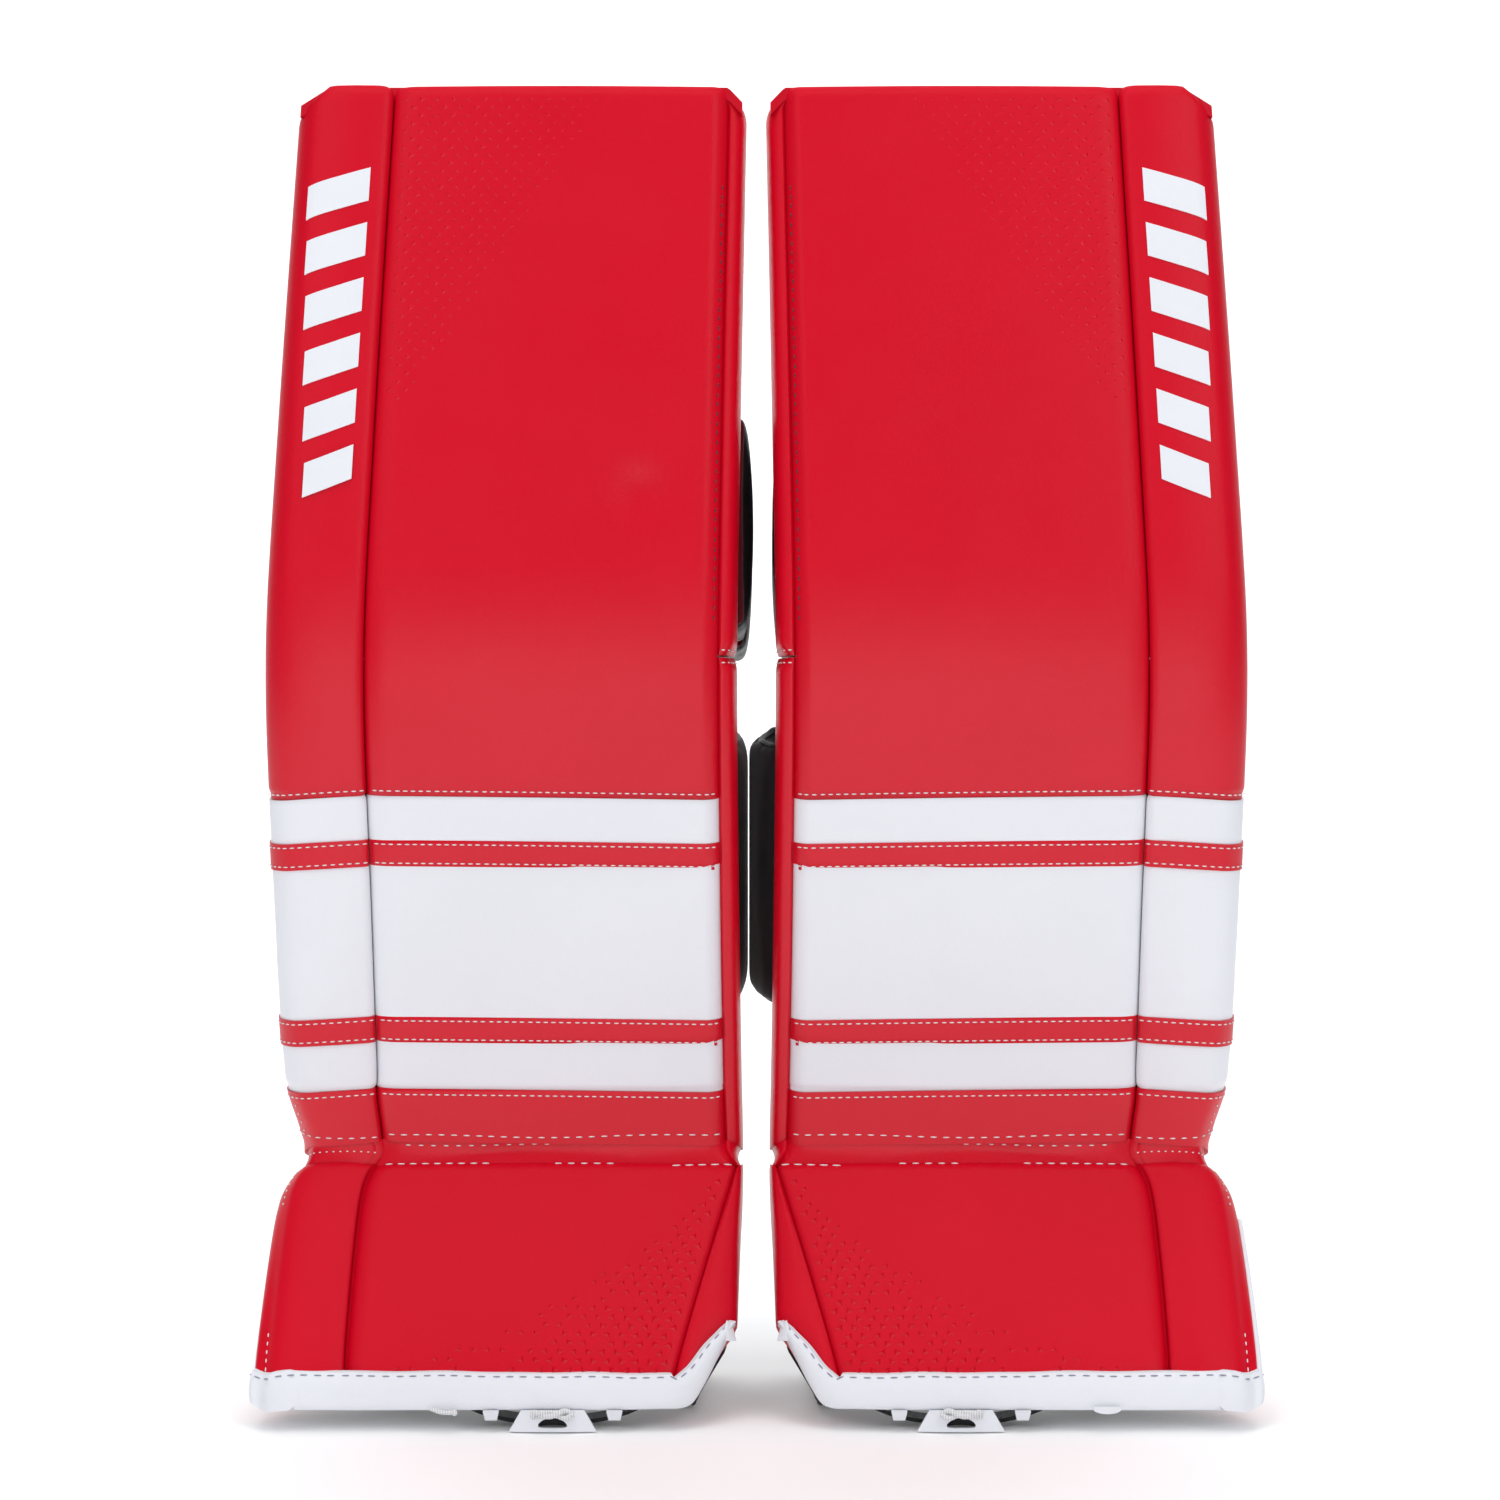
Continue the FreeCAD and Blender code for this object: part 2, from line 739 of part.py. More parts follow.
def boot_walls(side):
    """The two side walls of the boot channel, which the pad stands on."""
    outline = [
        ("dims.wall_front", "0"),
        ("dims.wall_back", "0"),
        ("dims.wall_back", "dims.wall_back_tall"),
        ("dims.wall_shoulder", "dims.wall_tall"),
        ("dims.wall_front", "dims.wall_front_tall"),
    ]
    walls = new_body(side, "boot_walls", FOOT)
    for start in ("dims.inner_wall_in", "dims.outer_wall_in"):
        add_side_pad(side, walls, [outline], start, f"{start} + dims.wall_thick")


def boot_strap(side):
    """The strap behind the skate's ankle, from the inner wall round the outer one."""
    inner = "(dims.wall_back + dims.clearance * 4)"
    outer = f"({inner} + dims.band)"
    half = "(dims.band / 2)"
    pivot = "(dims.inner_wall_in + dims.wall_thick / 2)"
    wrap_inside = "(dims.outer_wall_in + dims.wall_thick + dims.clearance * 4)"
    wrap_outside = f"({wrap_inside} + dims.band)"
    outline = [
        (wrap_outside, outer),
        (pivot, outer, half, 1),
        (f"{pivot} - {half}", f"{inner} + {half}", half, 1),
        (pivot, inner),
        (wrap_inside, inner),
        (wrap_inside, "dims.wall_back - dims.boot_strap_wrap"),
        (wrap_outside, "dims.wall_back - dims.boot_strap_wrap"),
    ]
    low = "dims.boot_strap_low"
    plan_prism(side, "boot_strap", FOOT, outline, low, f"{low} + dims.boot_strap_tall")


def toe_bridge(side):
    """The tab under the toe, with an oval slot for the toe cord."""
    left = "(dims.bridge_middle - dims.bridge_wide / 2)"
    right = "(dims.bridge_middle + dims.bridge_wide / 2)"
    end = "(dims.slot_wide - dims.slot_tall) / 2"
    slot_low = "(dims.slot_height - dims.slot_tall / 2)"
    slot_high = "(dims.slot_height + dims.slot_tall / 2)"
    half = "(dims.slot_tall / 2)"
    tab = rectangle(left, "dims.bridge_bottom", right, "dims.bridge_pivot + dims.band / 2")
    slot = [
        (f"dims.bridge_middle - {end}", slot_low),
        (f"dims.bridge_middle + {end}", slot_low, half, 1),
        (f"dims.bridge_middle + {end} + {half}", "dims.slot_height", half, 1),
        (f"dims.bridge_middle + {end}", slot_high),
        (f"dims.bridge_middle - {end}", slot_high, half, 1),
        (f"dims.bridge_middle - {end} - {half}", "dims.slot_height", half, 1),
    ]
    frame = (TOE_Y, "0", "0")
    front_prism(
        side, "toe_bridge", frame, [tab, slot],
        "dims.bridge_from_toe - dims.band / 2", "dims.bridge_from_toe + dims.band / 2",
    )


def toe_strap(side):
    """The elastic strap that hangs in a bow behind the toe bridge."""
    left = "(dims.bridge_middle - dims.toe_strap_half)"
    right = "(dims.bridge_middle + dims.toe_strap_half)"
    half, sag = "dims.toe_strap_half", "dims.toe_strap_sag"
    radius = f"(({half} * {half} + {sag} * {sag}) / (2 * {sag}))"
    top = "(dims.bridge_pivot + dims.band / 2)"
    bow = [
        (left, f"{top} - dims.band", radius, 1),
        (right, f"{top} - dims.band"),
        (right, top, radius, -1),
        (left, top),
    ]
    frame = (TOE_Y, "0", "0")
    front = "dims.toe_strap_from_toe"
    front_prism(side, "toe_strap", frame, [bow], front, f"{front} + dims.toe_strap_wide")


PIECES = (
    thigh, knee_stack, knee_wing, knee_strap,
    shin, shin_face, calf_wall, calf_flaps, calf_strap,
    boot, boot_face, boot_inner_side, boot_gusset, boot_walls, boot_strap,
    toe_binding, toe_bridge, toe_strap,
)

for pad_side in SIDES:
    for make_piece in PIECES:
        make_piece(pad_side)
doc.recompute()

for item in doc.Objects:
    if any(word in item.State for word in ("Invalid", "Error")):
        raise RuntimeError(f"{item.Label} failed: {item.State}")

bodies = [item for item in doc.Objects if item.TypeId == "PartDesign::Body"]
for item in bodies:
    if item.Shape.isNull() or not item.Shape.isValid() or item.Shape.Volume <= 0:
        raise RuntimeError(f"{item.Label} has no valid solid")

os.makedirs("parts", exist_ok=True)
for item in bodies:
    item.Shape.exportStep(f"parts/{item.Label}.step")
whole = Part.makeCompound([item.Shape for item in bodies])
print(len(bodies), "pieces,", len(whole.Solids), "solids,", whole.BoundBox)
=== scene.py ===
"""Goalie leg pads: leather covers, padding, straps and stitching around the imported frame.

Every size is in metres. A place on the thigh and shin is given as (out, along, deep): out from the pad's
inner edge, along the face's line from the knee, up being positive, and deep behind the face. A place on the
boot is (out, down, deep), with down measured from the boot break along the boot's sloping face.
"""
import json
import math
import random

import bmesh
import bpy
from mathutils import Matrix, Vector
from mathutils.bvhtree import BVHTree


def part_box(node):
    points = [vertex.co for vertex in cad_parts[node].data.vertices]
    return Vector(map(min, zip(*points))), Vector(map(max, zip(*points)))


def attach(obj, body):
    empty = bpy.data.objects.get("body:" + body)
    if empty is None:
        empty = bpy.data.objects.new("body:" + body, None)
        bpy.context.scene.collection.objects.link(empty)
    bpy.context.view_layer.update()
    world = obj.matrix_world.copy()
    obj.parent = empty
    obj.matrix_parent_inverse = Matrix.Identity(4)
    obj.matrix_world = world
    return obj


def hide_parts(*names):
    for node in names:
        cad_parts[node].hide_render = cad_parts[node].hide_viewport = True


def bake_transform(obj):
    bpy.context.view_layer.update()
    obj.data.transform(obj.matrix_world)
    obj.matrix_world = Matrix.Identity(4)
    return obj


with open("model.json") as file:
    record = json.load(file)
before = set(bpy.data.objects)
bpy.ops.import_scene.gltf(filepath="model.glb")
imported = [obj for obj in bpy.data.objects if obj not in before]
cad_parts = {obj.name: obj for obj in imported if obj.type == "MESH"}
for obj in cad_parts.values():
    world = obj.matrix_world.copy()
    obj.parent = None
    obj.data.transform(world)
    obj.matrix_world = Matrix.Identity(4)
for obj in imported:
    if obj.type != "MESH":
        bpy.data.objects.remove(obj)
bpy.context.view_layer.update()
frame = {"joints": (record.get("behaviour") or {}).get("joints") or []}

bl_info = {
    "name": "Goalie leg pads",
    "version": (1, 0, 0),
    "blender": (4, 5, 0),
    "location": "3D View > Sidebar > Goalie pads",
    "description": "Builds the covers, padding, straps and stitching of a pair of goalie leg pads",
    "category": "Add Mesh",
}

SIDES = {"right": -1, "left": 1}


# ---- the pads' own measures, from the frame -------------------------------------------------------------

def joint(name):
    """One of the frame's joints, by name."""
    return next(entry for entry in frame["joints"] if entry["name"] == name)


PAD_WIDE = 0.280
INNER_EDGE_OUT = 0.009
PAD_THICK = 0.050
PANEL_THICK = 0.004
KNEE_PIVOT_DEEP = 0.006
KNEE_BLEND_HALF = 0.022
KNEE_ROUND = 0.360
THIGH_LONG = 0.3645
SHIN_LONG = 0.3085
BOOT_LONG = 0.176
BOOT_LEAN = math.radians(40)
BOOT_HEAD_THICK = 0.050
BREAK_SLOPE = 0.445
THIGH_LEAN = abs(math.asin(joint("left_knee_strap_opening")["axis"][1]))
SHIN_LEAN = abs(math.asin(joint("left_calf_flap_opening")["axis"][1]))
KNEE_Y = joint("left_knee_break")["pos_m"][1] - KNEE_PIVOT_DEEP
KNEE_Z = joint("left_knee_break")["pos_m"][2]
BEND_HALF = KNEE_ROUND * (THIGH_LEAN + SHIN_LEAN) / 2
TANGENT = KNEE_ROUND * math.tan((THIGH_LEAN + SHIN_LEAN) / 2)

# heights along the face of the panels' edges
WHITE_TOP = -0.086
WHITE_LOW = -0.2695
STRIPES = ((-0.113, -0.1295), (-0.2235, -0.240))
SHIN_END = -0.3035
BOOT_START = 0.0065

# (place along, inner edge, outer edge): the pad bows out a little at the knee and nips in at the break
PAD_EDGES = (
    (-0.3085, 0.0080, 0.2835),
    (-0.2960, 0.0082, 0.2870),
    (-0.2700, 0.0088, 0.2940),
    (-0.1500, 0.0105, 0.2985),
    (0.0000, 0.0115, 0.3005),
    (0.1500, 0.0095, 0.2960),
    (0.3645, 0.0055, 0.2870),
)
BOOT_EDGES = (
    (0.0000, 0.0080, 0.2835),
    (0.0100, 0.0082, 0.2900),
    (0.0260, 0.0086, 0.2955),
    (0.0600, 0.0100, 0.2975),
    (0.1300, 0.0122, 0.2975),
    (0.1760, 0.0130, 0.2955),
)
# out from the inner edge to the outer roll's seam
PAD_ROLL_SEAM = ((-0.3085, 0.2270), (-0.2500, 0.2205), (0.0, 0.2195), (0.3645, 0.2190))
BOOT_ROLL_SEAM = ((0.0, 0.2270), (0.176, 0.2250))
BOOT_INNER_SEAM = ((0.0, 0.0030), (0.140, 0.0330), (0.176, 0.0400))


def ease(stations, place, column=1):
    """A value read off a smooth line through stations of (place, value, ...)."""
    last = len(stations) - 1
    if place <= stations[0][0]:
        return stations[0][column]
    if place >= stations[last][0]:
        return stations[last][column]
    index = 1
    while stations[index][0] < place:
        index += 1
    low, high = stations[index - 1], stations[index]
    before = stations[index - 2] if index > 1 else low
    after = stations[index + 1] if index < last else high
    span = high[0] - low[0]
    leave = (high[column] - before[column]) / (high[0] - before[0]) * span
    arrive = (after[column] - low[column]) / (after[0] - low[0]) * span
    t = (place - low[0]) / span
    square, cube = t * t, t * t * t
    return (
        (2 * cube - 3 * square + 1) * low[column] + (cube - 2 * square + t) * leave
        + (3 * square - 2 * cube) * high[column] + (cube - square) * arrive
    )


def blend_to(low, high, share):
    """Between two values."""
    return low + (high - low) * share


def lean_vectors(angle):
    """Up along a segment and back from its face, for a lean back of that angle."""
    up = Vector((0, math.sin(angle), math.cos(angle)))
    back = Vector((0, math.cos(angle), -math.sin(angle)))
    return up, back


SHIN_UP, SHIN_BACK = lean_vectors(-SHIN_LEAN)
BOOT_UP, BOOT_BACK = lean_vectors(BOOT_LEAN)
KNEE_CENTRE = Vector((0, KNEE_Y, KNEE_Z)) - SHIN_UP * TANGENT + SHIN_BACK * KNEE_ROUND


def on_pad(side, out, along, deep):
    """A place on the thigh or shin."""
    bent = min(max(along, -BEND_HALF), BEND_HALF)
    angle = -SHIN_LEAN + (bent + BEND_HALF) / KNEE_ROUND
    rise, run = math.sin(angle), math.cos(angle)
    away, further = KNEE_ROUND - deep, along - bent
    inner = ease(PAD_EDGES, along, 1)
    outer = ease(PAD_EDGES, along, 2)
    return Vector((
        SIDES[side] * blend_to(inner, outer, out / PAD_WIDE),
        KNEE_CENTRE.y - run * away + rise * further,
        KNEE_CENTRE.z + rise * away + run * further,
    ))


BREAK = on_pad("left", 0, -SHIN_LONG, 0)


def on_boot(side, out, down, deep):
    """A place on the boot."""
    inner = ease(BOOT_EDGES, down, 1)
    outer = ease(BOOT_EDGES, down, 2)
    return Vector((
        SIDES[side] * blend_to(inner, outer, out / PAD_WIDE),
        BREAK.y - BOOT_UP.y * down + BOOT_BACK.y * deep,
        BREAK.z - BOOT_UP.z * down + BOOT_BACK.z * deep,
    ))


def break_drop(deep):
    """How much further the shin and boot reach at a depth, to meet at the back of the break."""
    return BREAK_SLOPE * max(deep - PANEL_THICK, 0.0)


def fall(distance, radius, drop):
    """How far a padded surface has dropped, a distance from its sewn edge."""
    if distance >= radius:
        return 0.0
    share = 1 - max(distance, 0.0) / radius
    return drop * (1 - math.sqrt(max(1 - share * share, 0.0)))


# ---- sizes and colours a user would change --------------------------------------------------------------

class GoaliePadSettings(bpy.types.PropertyGroup):
    """Colours and small sizes of the pads' making."""

    red: bpy.props.FloatVectorProperty(
        name="Red leather", description="Colour of the red synthetic leather",
        default=(0.635, 0.001, 0.016), size=3, subtype="COLOR", min=0, max=1,
    )
    white: bpy.props.FloatVectorProperty(
        name="White leather", description="Colour of the white synthetic leather",
        default=(0.80, 0.82, 0.87), size=3, subtype="COLOR", min=0, max=1,
    )
    black: bpy.props.FloatVectorProperty(
        name="Black fabric", description="Colour of the nylon linings and wraps",
        default=(0.018, 0.018, 0.020), size=3, subtype="COLOR", min=0, max=1,
    )
    thread: bpy.props.FloatVectorProperty(
        name="Thread", description="Colour of the sewing thread",
        default=(0.86, 0.83, 0.84), size=3, subtype="COLOR", min=0, max=1,
    )
    leather_roughness: bpy.props.FloatProperty(
        name="Leather roughness", description="How dull the leather's gloss is",
        default=0.37, min=0, max=1, subtype="FACTOR",
    )
    stitch_length: bpy.props.FloatProperty(
        name="Stitch length", description="Length of one visible stitch",
        default=0.0034, min=0.001, max=0.01, unit="LENGTH",
    )
    stitch_gap: bpy.props.FloatProperty(
        name="Stitch gap", description="Gap between two stitches",
        default=0.0014, min=0.0002, max=0.01, unit="LENGTH",
    )
    thread_radius: bpy.props.FloatProperty(
        name="Thread radius", description="Half the thickness of the thread",
        default=0.00045, min=0.0001, max=0.002, unit="LENGTH",
    )
    padding_pressure: bpy.props.FloatProperty(
        name="Padding pressure", description="Air pressure that swells the simulated cushions",
        default=4.0, min=0, max=20,
    )
    padding_swell: bpy.props.FloatProperty(
        name="Padding swell", description="The furthest that a simulated cushion may swell",
        default=0.005, min=0, max=0.03, unit="LENGTH",
    )


def settings():
    """The scene's own settings."""
    return bpy.context.scene.goalie_pads


# ---- materials ------------------------------------------------------------------------------------------

class Nodes:
    """A short way to put a material's nodes together."""

    def __init__(self, name):
        self.material = bpy.data.materials.new(name)
        self.material.use_nodes = True
        self.tree = self.material.node_tree
        self.shader = self.tree.nodes["Principled BSDF"]
        self.place = self.add("ShaderNodeTexCoord").outputs["Object"]

    def add(self, kind, **values):
        """One node, its sockets set or linked by name."""
        node = self.tree.nodes.new(kind)
        for key, value in values.items():
            if key in node.bl_rna.properties and not key[0].isupper():
                setattr(node, key, value)
                continue
            socket = node.inputs[key.replace("_", " ")]
            if isinstance(value, bpy.types.NodeSocket):
                self.tree.links.new(value, socket)
            else:
                socket.default_value = value
        return node

    def link(self, output, socket_name):
        """Joins an output to a socket of the shader."""
        self.tree.links.new(output, self.shader.inputs[socket_name])

    def set(self, **values):
        """Sets the shader's own sockets."""
        for key, value in values.items():
            self.shader.inputs[key.replace("_", " ")].default_value = value

    def maths(self, operation, first, second=0.5):
        """A sum of two values or outputs."""
        node = self.tree.nodes.new("ShaderNodeMath")
        node.operation = operation
        for socket, value in zip(node.inputs, (first, second)):
            if isinstance(value, bpy.types.NodeSocket):
                self.tree.links.new(value, socket)
            else:
                socket.default_value = value
        return node.outputs[0]

    def colour_between(self, share, low, high):
        """A colour between two, by an output from 0 to 1."""
        ramp = self.add("ShaderNodeValToRGB", Fac=share)
        ramp.color_ramp.elements[0].color = (*low, 1)
        ramp.color_ramp.elements[1].color = (*high, 1)
        return ramp.outputs["Color"]

    def bump(self, height, strength, distance, before=None):
        """A bump from a height, on top of an earlier one."""
        node = self.add("ShaderNodeBump", Strength=strength, Distance=distance, Height=height)
        if before is not None:
            self.tree.links.new(before, node.inputs["Normal"])
        return node.outputs["Normal"]


def shade(colour, amount):
    """A colour made lighter or darker."""
    return tuple(min(part * amount, 1.0) for part in colour)


def leather(name, colour, roughness):
    """Synthetic leather: pebbled grain, soft undulation, a satin gloss that wears unevenly, and painted
    shade that darkens the colour towards each panel's sewn edges.
    """
    made = Nodes(name)
    grain = made.add("ShaderNodeTexVoronoi", Vector=made.place, Scale=820.0, Randomness=1.0,
                     feature="DISTANCE_TO_EDGE").outputs["Distance"]
    fine = made.add("ShaderNodeTexNoise", Vector=made.place, Scale=1500.0, Detail=4.0).outputs["Fac"]
    wave = made.add("ShaderNodeTexNoise", Vector=made.place, Scale=16.0, Detail=3.0).outputs["Fac"]
    tint = made.add("ShaderNodeTexNoise", Vector=made.place, Scale=7.0, Detail=5.0).outputs["Fac"]
    cover = made.colour_between(tint, shade(colour, 0.95), shade(colour, 1.05))
    # Painted shade: the seam layer darkens the colour towards each panel's sewn edges, where shade falls
    # into the seams.
    edge = made.add("ShaderNodeAttribute", attribute_name="seam").outputs["Fac"]
    seam_shade = made.maths("MULTIPLY", made.maths("POWER", edge, 3.0), 0.35)
    mixed = made.add("ShaderNodeMix", data_type="RGBA")
    made.tree.links.new(seam_shade, mixed.inputs[0])
    made.tree.links.new(cover, mixed.inputs[6])
    mixed.inputs[7].default_value = (*shade(colour, 0.62), 1)
    made.link(mixed.outputs[2], "Base Color")
    dull = made.maths("MULTIPLY_ADD", wave, 0.14)
    dull.node.inputs[2].default_value = roughness - 0.07
    made.link(dull, "Roughness")
    normal = made.bump(wave, 0.10, 0.004)
    normal = made.bump(grain, 0.16, 0.0006, normal)
    made.link(made.bump(fine, 0.06, 0.0004, normal), "Normal")
    made.set(Specular_IOR_Level=0.42, Coat_Weight=0.03, Coat_Roughness=0.28)
    return made.material


def nylon(name, colour):
    """Woven nylon: fine crossing yarns with a faint sheen."""
    made = Nodes(name)
    warp = made.add("ShaderNodeTexWave", Vector=made.place, Scale=520.0, wave_type="BANDS",
                    bands_direction="X").outputs["Fac"]
    weft = made.add("ShaderNodeTexWave", Vector=made.place, Scale=520.0, wave_type="BANDS",
                    bands_direction="Z").outputs["Fac"]
    weave = made.maths("MULTIPLY", warp, weft)
    dust = made.add("ShaderNodeTexNoise", Vector=made.place, Scale=40.0, Detail=6.0).outputs["Fac"]
    made.link(made.colour_between(dust, shade(colour, 0.75), shade(colour, 1.6)), "Base Color")
    made.link(made.bump(dust, 0.10, 0.001, made.bump(weave, 0.35, 0.0004)), "Normal")
    made.set(Roughness=0.72, Sheen_Weight=0.25, Sheen_Roughness=0.5, Specular_IOR_Level=0.3)
    return made.material


def webbing(name, colour):
    """Ribbed strap webbing."""
    made = Nodes(name)
    ribs = made.add("ShaderNodeTexWave", Vector=made.place, Scale=330.0, wave_type="BANDS",
                    bands_direction="X").outputs["Fac"]
    cross = made.add("ShaderNodeTexWave", Vector=made.place, Scale=210.0, wave_type="BANDS",
                     bands_direction="Z").outputs["Fac"]
    ridge = made.maths("ADD", ribs, made.maths("MULTIPLY", cross, 0.5))
    made.link(made.colour_between(ribs, shade(colour, 0.7), shade(colour, 1.5)), "Base Color")
    made.link(made.bump(ridge, 0.5, 0.0006), "Normal")
    made.set(Roughness=0.66, Sheen_Weight=0.15, Specular_IOR_Level=0.35)
    return made.material


def loop_pile(name, colour):
    """The fuzzy half of a hook-and-loop fastener."""
    made = Nodes(name)
    fuzz = made.add("ShaderNodeTexNoise", Vector=made.place, Scale=900.0, Detail=6.0,
                    Roughness=0.8).outputs["Fac"]
    made.link(made.colour_between(fuzz, shade(colour, 0.5), shade(colour, 2.2)), "Base Color")
    made.link(made.bump(fuzz, 0.9, 0.0010), "Normal")
    made.set(Roughness=0.95, Sheen_Weight=0.6, Sheen_Roughness=0.6, Specular_IOR_Level=0.1)
    return made.material


def thread_material(name, colour):
    """Twisted polyester thread."""
    made = Nodes(name)
    twist = made.add("ShaderNodeTexWave", Vector=made.place, Scale=900.0, wave_type="BANDS",
                     bands_direction="DIAGONAL").outputs["Fac"]
    made.link(made.colour_between(twist, shade(colour, 0.88), colour), "Base Color")
    made.link(made.bump(twist, 0.4, 0.0002), "Normal")
    made.set(Roughness=0.5, Sheen_Weight=0.2)
    return made.material


MATERIALS = {}


def make_materials():
    """Every material the pieces use, by a short name."""
    chosen = settings()
    red, white, black = tuple(chosen.red), tuple(chosen.white), tuple(chosen.black)
    MATERIALS.update(
        red=leather("red_leather", red, chosen.leather_roughness),
        white=leather("white_leather", white, chosen.leather_roughness),
        maroon=nylon("dark_red_binding", (0.12, 0.004, 0.012)),
        nylon=nylon("black_nylon", black),
        leather_black=leather("black_leather", shade(black, 1.3), 0.5),
        webbing=webbing("black_webbing", black),
        pile=loop_pile("black_loop_pile", black),
        thread=thread_material("white_thread", tuple(chosen.thread)),
        dark_thread=thread_material("dark_thread", shade(black, 2.0)),
        grey_thread=thread_material("grey_thread", (0.30, 0.31, 0.42)),
        cord=webbing("white_cord", shade(white, 0.95)),
    )


# ---- mesh helpers ---------------------------------------------------------------------------------------

def bunched(share, amount):
    """Spaces grid lines closer together towards both ends."""
    return share - amount * math.sin(2 * math.pi * share) / (2 * math.pi)


def piece_from(mesh, name, material, sharp=44):
    """A scene object from a bmesh, smooth but for its sharp edges."""
    data = bpy.data.meshes.new(name)
    mesh.to_mesh(data)
    mesh.free()
    data.materials.append(MATERIALS[material])
    data.polygons.foreach_set("use_smooth", [True] * len(data.polygons))
    data.set_sharp_from_angle(angle=math.radians(sharp))
    piece = bpy.data.objects.new(name, data)
    bpy.context.scene.collection.objects.link(piece)
    return piece


def closed_sheet(name, steps, outer, inner, material, bunch=(0.6, 0.6), details=None):
    """A closed shell: a grid with an outer and an inner skin, placed by two functions of (u, v)."""
    mesh = bmesh.new()
    seam = mesh.verts.layers.float.new("seam")
    bmesh.ops.create_grid(mesh, x_segments=steps[0], y_segments=steps[1], size=0.5)
    bmesh.ops.translate(mesh, vec=(0.5, 0.5, 0), verts=mesh.verts)
    grown = bmesh.ops.extrude_face_region(mesh, geom=mesh.faces[:])
    skin = [part for part in grown["geom"] if isinstance(part, bmesh.types.BMVert)]
    bmesh.ops.translate(mesh, vec=(0, 0, 1), verts=skin)
    for vertex in mesh.verts:
        place = outer if vertex.co.z < 0.5 else inner
        u, v = vertex.co.x, vertex.co.y
        # The seam layer holds how near each point is to the sheet's edge; the leather paints shade there.
        vertex[seam] = max(1 - 14 * min(u, 1 - u), 1 - 14 * min(v, 1 - v), 0)
        vertex.co = place(bunched(u, bunch[0]), bunched(v, bunch[1]))
    bmesh.ops.recalc_face_normals(mesh, faces=mesh.faces)
    if details:
        details(mesh)
    return piece_from(mesh, name, material)


def layered(name, steps, place, outer, inner, material, **more):
    """A closed shell between two levels of one place(u, v, level)."""
    return closed_sheet(
        name, steps, lambda u, v: place(u, v, outer), lambda u, v: place(u, v, inner), material, **more
    )


def dress(piece, side, body, replaced=()):
    """Puts a finished piece on its body, or for the knee and the break bakes it in place, and hides the
    frame's parts that it stands for.
    """
    if body == "knee":
        low = on_pad(side, 0, -KNEE_BLEND_HALF, KNEE_PIVOT_DEEP)
        high = on_pad(side, 0, KNEE_BLEND_HALF, KNEE_PIVOT_DEEP)
        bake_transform(piece)
    elif body == "break":
        high = on_pad(side, 0, SHIN_END, PANEL_THICK)
        low = on_boot(side, 0, BOOT_START, PANEL_THICK)
        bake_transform(piece)
    else:
        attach(piece, f"{side}_{body}")
    if replaced:
        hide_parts(*(f"{side}_{node}" for node in replaced))
    return piece


# ---- the pads' surfaces ---------------------------------------------------------------------------------

FOLD_OUT = 0.0215
INNER_SEAM_OUT = 0.0115
INNER_SEAM_DEEP = 0.0085
VALLEY = 0.0062


def face_on_pad(side, out, along, lift=0.0):
    """The face of the thigh and shin: slightly crowned, folded near the inner edge, rounded at the top."""
    seam = ease(PAD_ROLL_SEAM, along)
    middle = (FOLD_OUT + seam) / 2
    deep = 0.0018 * ((out - middle) / (seam - middle)) ** 2
    deep += fall(seam - out, 0.015, VALLEY)
    if out < FOLD_OUT:
        share = (FOLD_OUT - out) / (FOLD_OUT - INNER_SEAM_OUT)
        deep += (INNER_SEAM_DEEP - 0.0018) * share ** 1.8
        deep += fall(out - INNER_SEAM_OUT, 0.003, 0.0015)
    deep += fall(top_edge(out) - along, 0.010, 0.008)
    return on_pad(side, out, along, deep - lift)


def top_edge(out):
    """Where the thigh ends: straight across, with its two corners cut off."""
    inner_cut = 0.013 * max(1 - out / 0.012, 0)
    outer_cut = 0.014 * max(1 - (PAD_WIDE - out) / 0.020, 0)
    return THIGH_LONG - inner_cut - outer_cut


def roll_section(share, seam, edge, back, valley=VALLEY):
    """A padded roll's section from its seam, over the front and round to the back, as (out, deep)."""
    places = (
        (0.00, seam + 0.0004, valley),
        (0.05, seam + 0.0020, valley * 0.42),
        (0.12, seam + 0.0065, 0.0006),
        (0.30, blend_to(seam, edge, 0.42), -0.0012),
        (0.46, blend_to(seam, edge, 0.74), 0.0010),
        (0.58, edge - 0.0070, 0.0065),
        (0.68, edge - 0.0014, back * 0.33),
        (0.80, edge - 0.0004, back * 0.62),
        (0.92, edge - 0.0040, back * 0.88),
        (1.00, edge - 0.0140, back),
    )
    return ease(places, share, 1), ease(places, share, 2)


def roll_on_pad(side, share, along, lift=0.0):
    """The outer roll of the thigh and shin."""
    seam = ease(PAD_ROLL_SEAM, along)
    out, deep = roll_section(share, seam, PAD_WIDE, PAD_THICK - 0.003)
    round_over = fall(top_edge(out) - along, 0.010, 0.008)
    centre_out, centre_deep = blend_to(seam, PAD_WIDE, 0.5), PAD_THICK * 0.55
    away = Vector((out - centre_out, deep - centre_deep))
    grown = away * (1 + (lift - round_over) / away.length)
    return on_pad(side, centre_out + grown.x, along, centre_deep + grown.y)


